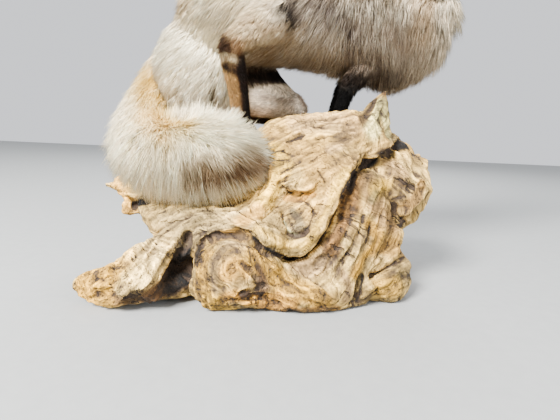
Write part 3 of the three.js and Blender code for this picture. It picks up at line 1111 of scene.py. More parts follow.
# Each patch: its radius in millimetres, colour, strength and decay, then its path's points. The
# dark patches in the grooves, hollows and crevices are painted shade.
STAINS_AND_SHADE = (
    (24, 0xF6CA70, 1, 1, 82, 290, 98, 284, 112, 292),
    (11, 0x967C6A, 0.9, 0.3, 122, 300, 136, 301, 152, 297),
    (15, 0xFCE4CA, 0.85, 0, 156, 258, 142, 275, 126, 288),
    (10, 0x5C4636, 0.9, 1, 150, 302, 166, 290, 182, 280),
    (8, 0x120F0D, 1, 0.5, 188, 236, 182, 252, 178, 268, 174, 284),
    (11, 0xECC470, 1, 0.8, 206, 308, 202, 284, 200, 264, 206, 248),
    (14, 0xEEC872, 1, 1, 214, 306, 232, 312), (10, 0xF0C47C, 1, 0.7, 226, 274, 234, 266, 246, 270),
    (6, 0xAC9686, 0.75, 0, 215, 290, 213, 266, 221, 248, 240, 240, 258, 250),
    (14, 0xE8C070, 1, 0.5, 256, 258, 284, 282, 322, 302),
    (12, 0xE2B468, 1, 0.9, 232, 300, 250, 298, 290, 303), (6, 0xD0B0A0, 1, 0, 262, 284, 266, 290),
    (5, 0x422E1E, 0.9, 0, 242, 296, 262, 296),
    (24, 0xF4DCC4, 0.85, 0, 150, 240, 190, 222, 232, 216),
    (9, 0xE8C088, 1, 0, 243, 220, 262, 206, 272, 184, 274, 166),
    (13, 0xF4D282, 0.95, 0.5, 266, 150, 282, 156, 280, 174, 264, 200),
    (6, 0xBC9660, 1, 0, 286, 198, 300, 199, 314, 195),
    (17, 0xCAAA7C, 0.6, 0.5, 296, 146, 316, 158, 316, 182),
    (1.4, 0x1E150E, 0.9, 0, 264, 149, 273, 153, 284, 150),
    (1.3, 0x1E150E, 0.9, 0, 282, 152, 295, 155),
    (1.2, 0x281D14, 0.9, 0, 267, 158, 277, 160, 288, 158),
    (1.2, 0x221912, 0.9, 0, 309, 163, 320, 156, 329, 148),
    (1.3, 0x221912, 0.9, 0, 318, 171, 325, 182), (1.2, 0x221912, 0.9, 0, 333, 155, 337, 165),
    (9, 0x92847C, 1, 0, 293, 212, 300, 222, 296, 232),
    (2.6, 0xECEAE6, 0.9, 0, 284, 222, 290, 232, 301, 237),
    (2.2, 0x1E1A19, 0.9, 0, 306, 203, 313, 211, 311, 222, 305, 233),
    (7, 0xF0CE86, 1, 0, 306, 244, 320, 222, 334, 194, 346, 172),
    (6, 0xF0D090, 1, 0, 258, 230, 270, 236, 286, 245, 302, 245),
    (14, 0xC0A696, 0.9, 0, 296, 268, 318, 264, 334, 244),
    (13, 0x927356, 0.95, 0, 352, 184, 346, 216, 332, 246),
    (10, 0xE2B862, 0.9, 0, 356, 274, 366, 256, 377, 240, 368, 226),
    (12, 0xB4967C, 0.8, 0, 366, 178, 378, 208, 392, 224),
    (10, 0xC4A892, 0.8, 0, 390, 160, 402, 172), (9, 0xFAD686, 1, 0, 376, 190, 386, 184),
    (14, 0xE0C0A8, 0.8, 0, 300, 120, 330, 118, 355, 122),
    (12, 0xFFF2D6, 1, 0, 374, 130, 381, 104, 390, 134),
    (5, 0x86705E, 0.9, 0, 362, 120, 368, 110, 374, 100), (6, 0x8C6C50, 0.9, 0, 384, 92),
    (7, 0x14100E, 1, 0, 365, 163, 372, 160), (7, 0x221B16, 1, 0, 398, 146, 405, 144),
    (14, 0xF0CA7C, 1, 0.3, 378, 288, 398, 284), (12, 0xD0AC78, 0.8, 0, 384, 250, 398, 246),
    (9, 0xCEAA82, 0.8, 0.8, 424, 180, 420, 194, 408, 206),
    (18, 0xF4CA8C, 1, 1, 108, 165, 120, 190, 128, 212), (6, 0x14100D, 1, 0, 134, 204, 148, 201),
    (3.4, 0x140F0C, 1, 0, 254, 239, 264, 247, 276, 254, 290, 258, 303, 256, 314, 247),
    (2.6, 0x2C2018, 0.9, 0, 314, 247, 325, 232, 334, 215, 341, 198, 348, 182, 356, 168),
    (4, 0x281E18, 0.8, 0, 380, 153, 392, 148, 404, 140, 414, 152),
    (3, 0x1E1712, 0.8, 0, 200, 247, 194, 258, 191, 272),
    (9, 0xCCB29E, 0.6, 0, 300, 130, 316, 126, 336, 130),
    (7, 0xB0988A, 0.7, 0, 330, 150, 342, 142, 352, 132), (4, 0x342820, 0.8, 0, 354, 176, 350, 190),
    (5, 0x968C7C, 0.6, 0, 372, 200, 376, 194), (5, 0xD8B27A, 0.8, 0, 212, 238, 230, 233, 246, 236),
    (8, 0xD6A058, 0.8, 0.8, 222, 318, 232, 316),
    (6, 0xBE9664, 0.7, 0.4, 262, 306, 300, 309, 336, 309),
    (8, 0xD6BE9E, 0.7, 0, 398, 270, 408, 280, 404, 292),
    (5, 0xB2988A, 0.7, 0, 340, 270, 348, 284, 346, 300),
    (1.7, 0x120D0A, 1, 0, 372, 277, 386, 268, 398, 261, 408, 254),
    (2.2, 0x1E1610, 0.9, 0, 357, 302, 360, 290, 363, 276),
    (1.5, 0x120D0A, 1, 0, 286, 142, 294, 140, 304, 136),
    (1.4, 0x16100C, 1, 0, 281, 173, 290, 167, 300, 161),
    (1.2, 0x1A130E, 0.9, 0, 394, 177, 402, 183, 410, 191),
    (1.1, 0x1A130E, 0.9, 0, 409, 178, 403, 186), (1.4, 0x1A130E, 0.9, 0, 395, 199, 404, 197),
    (3.5, 0x2C2018, 0.8, 0, 404, 222, 400, 226),
    (3.5, 0x604A3A, 0.8, 0, 258, 268, 262, 278, 258, 290),
    (4, 0x0E0B0A, 1, 0, 186, 250, 190, 264, 186, 280),
)
# Lines that the grain follows, as points in the camera's frame.
FLOW = (
    (129, 286, 146, 271, 160, 240, 189, 223, 231, 215, 258, 212),
    (92, 290, 118, 274, 140, 250, 160, 228, 190, 214),
    (246, 217, 262, 205, 271, 186, 275, 165, 290, 148), (262, 140, 290, 130, 320, 122, 350, 125),
    (280, 164, 310, 158, 340, 148, 366, 140), (284, 180, 300, 177, 318, 170),
    (255, 233, 272, 245, 290, 249, 312, 234, 330, 205, 342, 180, 360, 150, 395, 134),
    (200, 304, 197, 272, 204, 250, 222, 237, 242, 235, 258, 246, 278, 266, 302, 284, 332, 300),
    (222, 292, 217, 268, 226, 253, 243, 250, 254, 262, 276, 282),
    (306, 292, 328, 266, 345, 232, 355, 202, 364, 176),
    (340, 302, 360, 268, 376, 236, 386, 205, 396, 178), (326, 290, 350, 250, 364, 215),
    (364, 292, 385, 281, 409, 264), (402, 246, 409, 222, 416, 196, 406, 165, 396, 148),
    (243, 306, 275, 300, 310, 308, 335, 308), (112, 196, 130, 190, 150, 200),
    (280, 262, 300, 272, 320, 264, 338, 244), (364, 126, 372, 110, 381, 95),
    (150, 306, 160, 290, 176, 270, 186, 246),
)


@dataclass(frozen=True)
class WoodFinish:
    """Dry grey-gold wood with fine open grain, cracks and worm-eaten parts.

    Its hollows, cracks and pits are darkened towards the crevice colour as painted shade. Its
    scales are in cells to the metre.
    """

    # The colour of the painted shade in hollows, cracks and pits, and of the dark grain lines.
    crevice: Rgba = (0.035, 0.021, 0.012, 1.0)
    fibre: float = 480.0
    strand: float = 200.0
    split: float = 62.0
    check: float = 150.0
    pore: float = 330.0
    blotch: float = 34.0
    crumb: float = 150.0
    relief: float = 0.007

    def build(self) -> Material:
        """The material, which reads what the wood's mesh stores.

        Returns:
            The finished material.
        """
        look = Shader("driftwood_grain", Roughness=0.85, Specular_IOR_Level=0.3)
        grain, place = look.attribute("grain_place", "Vector"), look.place()
        fibre = look.noise(grain, self.fibre, 3.0)
        strand = look.noise(grain, self.strand, 4.0, 0.7)
        split = look.noise(grain, self.split, 3.0, 0.45) - 0.5
        check = look.noise(grain, self.check, 2.0) - 0.5
        pores = look.noise(place, self.pore, 2.0)
        blotch = look.noise(place, self.blotch, 4.0, 0.6)
        crumbs = look.noise(place, self.crumb, 4.0, 0.65)
        crack = (split * split).ramp(0.00001, 0.00025, 1.0, 0.0) * blotch.ramp(0.5, 0.57)
        crack = crack + (check * check).ramp(0.00003, 0.0005, 0.5, 0.0) * blotch.ramp(0.48, 0.4)
        shade_and_dark_grain, crest = look.attribute("shade_and_dark_grain"), look.attribute("crest")
        decay = look.attribute("decay")
        light = strand.ramp(0.3, 0.7, 0.42, 1.32) * fibre.ramp(0.3, 0.7, 0.6, 1.28)
        shade = look.lit(look.attribute("tint", "Color"), light * (1.0 + crest * 0.25))
        pits = pores.ramp(0.6, 0.7) * (0.2 + decay * 0.5) + crumbs.ramp(0.56, 0.72) * decay * 0.5
        lines = strand.ramp(0.43, 0.33) * 0.45 + fibre.ramp(0.4, 0.32) * 0.28
        # Painted shade in the hollows, cracks and pits, with the dark lines of the grain.
        dark = shade_and_dark_grain * 0.95 + crack * 0.75 + pits + lines
        look.feed("Base Color", look.mix(dark.ramp(0.0, 1.15), shade, self.crevice))
        height = strand * 0.6 + fibre * 0.25 - crack * 0.8 - pits * 0.8
        look.bump(height, 1.0, self.relief)
        return look.material


@dataclass
class Driftwood:
    """The weathered root wood under the fox.

    Coarse and fine are voxel sizes in metres, and grooves no wider than `thin` millimetres are
    drawn as dark lines of painted shade. The horn and the other limbs are stations in
    millimetres. The carving, the stained patches with the painted shade among them, and the flow
    of the grain are drawn in the camera's frame, and the hidden flow is places in millimetres with
    the grain's direction there.
    """

    home: Home
    viewpoint: Viewpoint
    coarse: float = 0.004
    fine: float = 0.0025
    thin: float = 3.2
    furrow_depth: float = 3.6
    wave_height: float = 2.6
    crease_depth: float = 3.2
    most: int = 190_000
    horn: Stations = (
        (128, -88, 226, 34, 15, 15), (138, -84, 262, 25, 10, 11), (150, -78, 290, 14, 7, 8),
        (158, -74, 312, 4, 4, 4),
    )
    claw: Stations = (
        (-60, -166, 118, 16, 12, 12), (-84, -190, 98, 13, 11, 11), (-94, -204, 74, 9, 9, 9),
        (-88, -212, 62, 4, 5, 5),
    )
    beak: Stations = (
        (-128, -158, 124, 24, 12, 14), (-162, -160, 126, 15, 8, 11), (-186, -160, 128, 8, 5, 6),
        (-201, -160, 128, 2.5, 2.5, 2.5),
    )
    peak: Stations = (
        (-206, -6, 152, 26, 24, 24), (-250, -8, 170, 20, 15, 18), (-290, -10, 184, 13, 9, 12),
        (-315, -10, 190, 4, 3.5, 4),
    )
    spur: Stations = (
        (-200, -26, 110, 26, 22, 24), (-248, -18, 120, 20, 15, 15), (-292, -12, 130, 14, 10, 10),
        (-318, -10, 133, 4, 3.5, 3.5),
    )
    strokes: tuple[Stroke, ...] = tuple(Stroke.of(*row) for row in STROKES)
    dabs: tuple[Dab, ...] = DABS
    stains_and_shade: tuple[StainAndShade, ...] = tuple(StainAndShade.of(*row) for row in STAINS_AND_SHADE)
    flow: tuple[Path, ...] = tuple(pairs(row) for row in FLOW)
    hidden_flow: tuple[tuple[Triple, Triple], ...] = (
        ((-250, 40, 140), (1, 0.1, 0.1)), ((-120, 110, 120), (1, -0.2, 0.3)),
        ((0, 130, 120), (1, 0, -0.2)), ((120, 120, 100), (1, -0.3, 0.3)),
        ((210, 20, 150), (0.2, -1, 0.3)), ((220, -40, 70), (0.2, -0.6, 1)),
        ((0, 20, 200), (1, 0, 0)), ((120, 10, 200), (1, -0.3, 0)), ((-120, 0, 240), (1, 0.2, 0)),
    )
    pale: Colour = 0xE5CBA8
    ochre: Colour = 0xE6C084
    brown: Colour = 0xAA8D6E
    grey: Colour = 0xC3AE9E
    gain: Triple = (1.04, 1.0, 0.53)

    def build(self, node: Item) -> Item:
        """Carves the wood out of its plain shape.

        Args:
            node: the frame's driftwood.

        Returns:
            The finished piece.
        """
        wood = self._blank(node)
        self._carve(wood)
        apply_modifier(wood, "REMESH", mode="VOXEL", voxel_size=self.fine)
        self._thin_hidden(wood)
        mesh = wood.data
        points = relax(points_of(mesh), edges_of(mesh), 1, 0.4)
        set_points(mesh, points)
        lie = self._lie(mesh)
        grain = self._grain_place(mesh, lie)
        fibres = self._fibres(points_of(mesh), lie)
        tint, decay, cut_shade = self._stains_and_shade(mesh, grain)
        furrow = self._weather(mesh, grain, decay, fibres)
        self._paint(mesh, grain, tint, decay, furrow, fibres, cut_shade)
        smooth_shaded(wood)
        wood.data.materials.clear()
        wood.data.materials.append(WoodFinish().build())
        wood.name = "driftwood_root"
        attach(wood, "root")
        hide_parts("driftwood")
        return wood

    def _thin_hidden(self, wood: Item) -> None:
        """Thins the mesh where the fox and the floor hide it, and at the back.

        Args:
            wood: the piece.
        """
        mesh = wood.data
        points, normals = points_of(mesh), normals_of(mesh)
        design = self.home.back(points)
        hidden = smoothstep(-0.02, 0.06, design[:, 1]) * smoothstep(-0.5, 0.3, normals[:, 1] + 0.3)
        hidden = np.maximum(hidden, smoothstep(0.02, 0.0, points[:, 2]) * (normals[:, 2] < -0.5))
        group = wood.vertex_groups.new(name="hidden")
        levels = 10
        for level in range(1, levels + 1):
            rows = np.nonzero(np.round(hidden * levels) == level)[0]
            group.add(rows.tolist(), level / levels, "REPLACE")
        share = min(1.0, self.most / len(triangles_of(mesh)))
        apply_modifier(
            wood, "DECIMATE", ratio=share, vertex_group="hidden", vertex_group_factor=6.0,
            use_collapse_triangulate=True,
        )
        wood.vertex_groups.clear()

    def _blank(self, node: Item) -> Item:
        """A smooth blank with the horn and the other limbs on it.

        Args:
            node: the frame's driftwood.

        Returns:
            The blank.
        """
        data = node.data.copy()
        data.transform(node.matrix_world)
        blank = bpy.data.objects.new("blank", data)
        bpy.context.scene.collection.objects.link(blank)
        only(blank)
        bpy.ops.object.mode_set(mode="EDIT")
        bpy.ops.mesh.select_all(action="SELECT")
        bpy.ops.mesh.remove_doubles(threshold=1e-5)
        bpy.ops.object.mode_set(mode="OBJECT")
        apply_modifier(blank, "REMESH", mode="VOXEL", voxel_size=self.coarse)
        points, edges = points_of(blank.data), edges_of(blank.data)
        calm = relax(points, edges, 22)
        calm += relax(points - calm, edges, 22)
        noise = Noise(SEED)
        normals = normals_of(blank.data)
        calm += normals * (noise.rough(calm, 0.07, 2) * 0.003)[:, None]
        calm[:, 2] = np.maximum(calm[:, 2], 0.0)
        set_points(blank.data, calm)
        extras = [Limb(self.horn, Upright.FRONT, 20, 24).build(self.home)]
        for stations in (self.claw, self.beak, self.peak, self.spur):
            extras.append(Limb(stations, Upright.SKY, 16, 20).build(self.home))
        whole = joined([blank, *extras], "wood")
        apply_modifier(whole, "REMESH", mode="VOXEL", voxel_size=self.fine)
        mesh = whole.data
        set_points(mesh, relax(points_of(mesh), edges_of(mesh), 4))
        return whole

    def _carve(self, wood: Item) -> None:
        """Cuts the strokes and raises the dabs.

        Args:
            wood: the piece.
        """
        mesh = wood.data
        points, normals = points_of(mesh), normals_of(mesh)
        caster = Caster(points, triangles_of(mesh), self.viewpoint)
        height = np.zeros(len(points))
        aside = np.zeros_like(points)
        for stroke in self.strokes:
            trace = caster.trace(stroke.path)
            if trace is None:
                continue
            reach = max(3.0 * stroke.width, 2.2 * stroke.fall) * MM
            picked, distance, side, nearest = trace.near(points, reach)
            facing = dot(normals[picked], trace.normals[nearest])
            weight = (0.25 + 0.75 * trace.ends(nearest, 0.1)) * smoothstep(-0.2, 0.3, facing)
            narrow = np.exp(-((distance / (stroke.width * MM)) ** 2))
            if stroke.tool is Tool.SHEET:
                proud = smoothstep(-0.8 * MM, 0.8 * MM, side)
                back = stroke.depth * np.exp(-distance / (stroke.fall * MM))
                under = -0.9 * stroke.depth * narrow
                under -= 0.35 * stroke.depth * np.exp(-distance / (0.5 * stroke.fall * MM))
                push = proud * back + (1.0 - proud) * under
                lip = proud * np.exp(-distance / (4 * MM)) * 0.45 * stroke.depth * MM * weight
                left = np.cross(trace.normals[nearest], trace.along[nearest])
                aside[picked] -= left * lip[:, None]
            else:
                sign = 1.0 if stroke.tool is Tool.RIDGE else -1.0
                push = sign * stroke.depth * narrow
            height[picked] += push * weight * MM
        for dab in self.dabs:
            trace = caster.trace((dab.at,))
            if trace is None:
                continue
            picked, distance, _, _ = trace.near(points, 3.0 * dab.radius * MM)
            facing = normals[picked] @ trace.normals[0]
            push = dab.height * np.exp(-((distance / (dab.radius * MM)) ** 2))
            height[picked] += push * smoothstep(-0.2, 0.3, facing) * MM
        points = points + normals * height[:, None] + aside
        points[:, 2] = np.maximum(points[:, 2], 0.0)
        set_points(mesh, points)

    def _fibres(self, points: Array, lie: Array, reach: float = 0.0032, steps: int = 7) -> Array:
        """Fine and broad streaks that run along the grain.

        Args:
            points: the wood's places.
            lie: the grain's direction at each.
            reach: how far each step along the grain goes.
            steps: how many steps a streak runs each way.

        Returns:
            Two columns of streaks, each with an even spread about nought.
        """
        ahead = nearest_of(points, points + lie * reach)
        behind = nearest_of(points, points - lie * reach)
        rng = np.random.default_rng(SEED + 5)
        speckle = rng.normal(size=len(points))
        cloudy = Noise(SEED + 6).rough(points, 0.0065, 2)
        seeds = np.stack([speckle, cloudy], 1)
        total = seeds.copy()
        fore = back = np.arange(len(points))
        for _ in range(steps):
            fore, back = ahead[fore], behind[back]
            total += seeds[fore] + seeds[back]
        total -= total.mean(0)
        return total / total.std(0)

    def _lie(self, mesh: Mesh) -> Array:
        """The grain's direction at each vertex.

        Args:
            mesh: the wood.

        Returns:
            Unit directions.
        """
        points, normals, edges = points_of(mesh), normals_of(mesh), edges_of(mesh)
        caster = Caster(points, triangles_of(mesh), self.viewpoint)
        spots, ways, pull = [], [], []
        for path in self.flow:
            trace = caster.trace(path, 4.0)
            if trace is not None and len(trace.places) > 1:
                spots.append(trace.places)
                ways.append(trace.along)
                pull.append(np.ones(len(trace.places)))
        for place, way in self.hidden_flow:
            spots.append(self.home.put(np.array([place]) * MM))
            ways.append(unit(np.array([way], float)))
            pull.append(np.array([3.0]))
        spot, way, pulls = np.concatenate(spots), np.concatenate(ways), np.concatenate(pull)
        lie = np.zeros_like(points)
        batch, soft = 20_000, 8e-5
        for start in range(0, len(points), batch):
            part = points[start : start + batch]
            gap = ((part[:, None, :] - spot[None, :, :]) ** 2).sum(2)
            weight = pulls[None, :] / (gap + soft) ** 2
            lie[start : start + batch] = weight @ way
        return combed(lie, normals, edges, 12)

    def _grain_place(self, mesh: Mesh, lie: Array) -> Array:
        """Solves for a place measured across the grain, and slow places along it.

        Args:
            mesh: the wood.
            lie: the grain's direction at each vertex.

        Returns:
            Three columns, the first of which runs across the grain.
        """
        points, normals, edges = points_of(mesh), normals_of(mesh), edges_of(mesh)
        across = unit(np.cross(normals, lie))
        first, second = edges[:, 0], edges[:, 1]
        step = points[second] - points[first]
        wanted = dot(0.5 * (across[first] + across[second]), step)
        count, rounds, enough, tiny, slow = len(points), 500, 1e-10, 1e-18, 0.1

        def gathered(flow: Array) -> Array:
            """What flows along the edges into each vertex, less what flows out."""
            return np.bincount(second, flow, count) - np.bincount(first, flow, count)

        # Conjugate gradients, from the height of each vertex.
        solved = points[:, 2].copy()
        residual = gathered(wanted) - gathered(solved[second] - solved[first])
        search = residual.copy()
        power = residual @ residual
        for _ in range(rounds):
            pushed = gathered(search[second] - search[first])
            amount = power / max(search @ pushed, tiny)
            solved += amount * search
            residual -= amount * pushed
            fresh = residual @ residual
            if fresh < enough:
                break
            search = residual + fresh / power * search
            power = fresh
        return np.stack([solved, slow * points[:, 0], slow * (points[:, 1] + points[:, 2])], axis=1)

    def _stains_and_shade(self, mesh: Mesh, grain: Array) -> tuple[Array, Array, Array]:
        """The tint, the decay and the thin cuts' painted shade at each vertex.

        Args:
            mesh: the wood.
            grain: places measured across the grain.

        Returns:
            The display colours, the decay and the thin cuts' painted shade, the last two from 0 to
            1.
        """
        points = points_of(mesh)
        noise = Noise(SEED + 2)
        pale, ochre, brown, grey = (rgb(c) for c in (self.pale, self.ochre, self.brown, self.grey))
        warm = smoothstep(-0.5, 0.6, noise.rough(points, 0.08, 2))[:, None]
        dull = (smoothstep(0.0, 0.9, noise.rough(points + 2.0, 0.06, 3)) * 0.5)[:, None]
        film = (smoothstep(0.1, 0.9, noise.rough(points + 6.0, 0.05, 3)) * 0.5)[:, None]
        tint = pale + (ochre - pale) * 0.6 * warm
        tint = tint + (brown - tint) * dull
        tint = tint + (grey - tint) * film * 0.8
        decay = smoothstep(0.35, 1.0, noise.rough(points + 8.0, 0.07, 2)) * 0.5
        caster = Caster(points, triangles_of(mesh), self.viewpoint)
        # The dark patches in the grooves, hollows and crevices are painted shade.
        for tint_patch in self.stains_and_shade:
            trace = caster.trace(tint_patch.path)
            if trace is None:
                continue
            picked, distance, _, _ = trace.near(points, 2.8 * tint_patch.radius * MM)
            wander = 1.0 + 0.5 * noise.rough(grain[picked] + 9.0, 0.02, 2)
            wander += 0.3 * noise.rough(points[picked] + 1.0, 0.012, 2)
            reach = distance / (tint_patch.radius * MM * np.clip(wander, 0.5, 1.7))
            amount = tint_patch.strength * smoothstep(1.7, 0.6, reach)
            tint[picked] += (rgb(tint_patch.colour) - tint[picked]) * amount[:, None]
            decay[picked] = np.maximum(decay[picked], tint_patch.decay * amount)
        # Painted shade: grooves too narrow for the mesh are darkened along their paths, the deeper
        # the darker.
        cut_shade = np.zeros(len(points))
        for stroke in self.strokes:
            if stroke.tool is not Tool.GROOVE or stroke.width > self.thin:
                continue
            trace = caster.trace(stroke.path)
            if trace is None:
                continue
            reach = max(stroke.width, 2.2) * MM
            picked, distance, _, nearest = trace.near(points, 2.0 * reach)
            amount = smoothstep(1.1, 0.35, distance / reach) * min(1.0, 0.35 + stroke.depth / 12)
            amount *= 0.3 + 0.7 * trace.ends(nearest, 0.15)
            cut_shade[picked] = np.maximum(cut_shade[picked], amount)
        return tint, decay, cut_shade

    def _weather(self, mesh: Mesh, grain: Array, decay: Array, fibres: Array) -> Array:
        """Opens furrows along the grain, and eats away the decayed parts.

        Args:
            mesh: the wood.
            grain: places measured across the grain.
            decay: how rotten each vertex is.
            fibres: streaks along the grain.

        Returns:
            How deep in a furrow each vertex is, from 0 to 1.
        """
        points, normals = points_of(mesh), normals_of(mesh)
        noise = Noise(SEED + 1)
        calm = 0.5 + 0.5 * noise.at(points, 0.05)
        wide = (1.0 - np.abs(noise.at(grain, 0.016))) ** 5
        fine = (1.0 - np.abs(noise.at(grain + 3.0, 0.0085))) ** 4
        bold = smoothstep(0.35, 0.75, calm)
        furrow = np.clip(wide * (0.35 + 0.65 * bold) + 0.5 * fine * calm, 0.0, 1.0)
        waves = noise.rough(points + 5.0, 0.04, 3)
        chips = np.abs(noise.at(points + 1.0, 0.022)) + 0.7 * np.abs(noise.at(points + 4.0, 0.010))
        ropes = noise.at(grain + 6.0, 0.030) * 2.6 + noise.at(grain + 7.0, 0.016) * 1.5
        creases = 1.0 - np.abs(noise.at(points + 9.0, 0.030))
        height = -self.furrow_depth * furrow * (1.0 - 0.4 * decay) + self.wave_height * waves
        height = height + ropes + decay * (6.0 * chips - 3.0) - self.crease_depth * creases**4
        height += 0.4 * np.clip(fibres[:, 0], -2, 1.5) + 0.8 * np.clip(fibres[:, 1], -2.4, 1.0)
        points = points + normals * (height * MM)[:, None]
        points[:, 2] = np.maximum(points[:, 2], 0.0)
        set_points(mesh, points)
        return furrow

    def _paint(
        self, mesh: Mesh, grain: Array, tint: Array, decay: Array, furrow: Array,
        fibres: Array, cut_shade: Array,
    ) -> None:
        """Stores the wood's tint, its painted shade and dark grain, its crests and its grain
        places.

        Args:
            mesh: the wood.
            grain: places measured across the grain.
            tint: the display colour at each vertex.
            decay: how rotten each vertex is.
            furrow: how deep in a furrow it is.
            fibres: streaks along the grain.
            cut_shade: the painted shade of the thin cuts.
        """
        points, normals, edges = points_of(mesh), normals_of(mesh), edges_of(mesh)
        noise = Noise(SEED + 4)
        streak = noise.rough(grain + 4.0, 0.014, 3)
        smooth = relax(points, edges, 12)
        hollow = dot(smooth - points, normals)
        broad = relax(points, edges, 70)
        deep = dot(broad - points, normals)
        # Painted shade: hollows, deep recesses and furrows are darkened.
        shade_and_dark_grain = smoothstep(0.1 * MM, 2.2 * MM, hollow) * 0.6
        shade_and_dark_grain += smoothstep(1.0 * MM, 8.0 * MM, deep) * 0.75 + 0.3 * furrow**2
        crest = smoothstep(0.1 * MM, 1.6 * MM, -hollow)
        # Painted shade along the foot of the wood, where it stands on the floor.
        low = smoothstep(0.035, 0.0, points[:, 2]) * 0.25
        fine, cloudy = fibres.T
        lines = 0.20 * np.clip(fine, -2, 2) + 0.20 * np.clip(cloudy, -2, 2)
        shade = 0.55 * np.exp(0.46 * streak + 1.3 * lines)
        bright = shade[:, None] * np.array(self.gain) * to_linear(tint) ** 1.4
        store(mesh, "tint", with_alpha(bright))
        # The grain's dark streaks, the wood's own colour, join the painted shade, and the thin
        # cuts' painted shade is laid over both.
        shade_and_dark_grain += 0.5 * smoothstep(0.7, 2.3, -cloudy) + 0.25 * smoothstep(0.9, 2.4, -fine)
        store(mesh, "shade_and_dark_grain", np.clip(np.maximum(shade_and_dark_grain + low, cut_shade), 0.0, 1.0))
        store(mesh, "crest", crest)
        store(mesh, "decay", decay)
        store(mesh, "grain_place", grain)


# ---------------- the fox's body


CREAM: Colour = 0xE8DBC4
MILK: Colour = 0xF2ECE0
SOOT: Colour = 0x1A1615
CONTRAST = 1.35

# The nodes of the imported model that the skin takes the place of.
FLESH = (
    "trunk neck head ear_left ear_right paw_fore_right paw_fore_left paw_hind_right paw_hind_left "
    "leg_hind_right leg_hind_left leg_fore_right leg_fore_left tail_base tail_middle tail_tip"
).split()
# The parts of the body whose hair makes up each region; the feet have all that is left.
REGIONS = {
    "tail": ("tail",),
    "rear": ("rump", "thigh_right", "thigh_left", "shank_right", "shank_left"),
    "trunk": ("trunk", "upper_arm_right", "upper_arm_left"),
    "neck": ("neck",),
    "head": ("head", "ear_right", "ear_left"),
}
# Where the lie of the coat parts, so more hair grows: the place, its reach and the share more.
THICKER = (((-150.0, -150.0, 235.0), 24.0, 1.3),)


@dataclass
class Zone:
    """One part of the body: its skin and the coat on it.

    Stations are x, y, z, half width, reach over and reach under, in millimetres. Coat rows are
    the share of the length, then hair length and coat depth in millimetres, tuft width in
    millimetres and tufts to the square centimetre. Tint rows are the share of the length and the
    colours over, beside and under the line. Lie rows are the share of the length, then how far
    the hair points along the line, down, and around it.
    """

    name: str
    stations: Stations
    coat: Stations
    tints: Sequence[tuple[float, Colour, Colour, Colour]]
    lie: Stations = ((0, 1.0, 0.0, 0.0),)
    upright: Upright = Upright.SKY
    skull: Skull | None = None
    grizzle: float = 0.0
    curl: float = 0.0
    rings: int = 40
    sides: int = 28

    def limb(self, home: Home) -> Item:
        """The zone's own closed body."""
        limb = Limb(self.stations, self.upright, self.sides, self.rings, curl=self.curl)
        return limb.build(home, self.skull.out if self.skull else None)

    def facing(self, normals: Array) -> Array:
        """How far each outward direction looks out of a cupped zone's open side, -1 to 1.

        Args:
            normals: the outward directions.

        Returns:
            One number for each.
        """
        ahead = np.array(self.upright.value)
        if self.skull:
            ahead = self.skull.out_way(ahead)
        return np.clip(2.6 * (normals @ ahead) + 0.2, -1.0, 1.0)

    def locate(self, points: Array) -> tuple[Array, Array, Array, Array]:
        """Measures design places against the zone.

        Args:
            points: places in design coordinates.

        Returns:
            How far out each lies (1 is on the skin), the share of the length, how far over the
            line it lies from -1 to 1, and the line's direction.
        """
        local = self.skull.into(points) if self.skull else points
        line = Line(np.array(self.stations, float) * MM)
        shares = np.linspace(0.0, 1.0, 40)
        rows = line.at(shares)
        along, across, over = line.axes(shares, self.upright.value)
        best = np.full(len(points), FAR)
        share = np.zeros(len(points))
        lift = np.zeros(len(points))
        way = np.zeros_like(points)
        for k, row in enumerate(rows):
            gap = local - row[:3]
            wide, high = gap @ across[k], gap @ over[k]
            reach = np.where(high > 0, abs(row[4]), abs(row[5]))
            least = min(row[3], abs(row[4]), abs(row[5]))
            out = (wide / row[3]) ** 2 + (high / reach) ** 2 + (gap @ along[k] / least) ** 2
            closer = out < best
            best[closer] = out[closer]
            share[closer] = shares[k]
            size = np.hypot(wide, high)[closer]
            lift[closer] = high[closer] / np.maximum(size, FAINT)
            way[closer] = along[k]
        if self.skull:
            way = self.skull.out_way(way)
        return np.sqrt(best), share, lift, way

    def tinted(self, share: Array) -> list[Array]:
        """The colours over, beside and under the line.

        Args:
            share: how far along the line each place is.

        Returns:
            Three arrays, with one colour for each place.
        """
        shares = [row[0] for row in self.tints]
        bands = []
        for band in (1, 2, 3):
            colours = np.array([rgb(row[band]) for row in self.tints])
            bands.append(np.stack([np.interp(share, shares, part) for part in colours.T], 1))
        return bands


def on_side(stations: Stations, side: int) -> Stations:
    """Stations given for the left, put on a side: 1 for left, -1 for right."""
    return [[row[0], row[1] * side, *row[2:]] for row in stations]


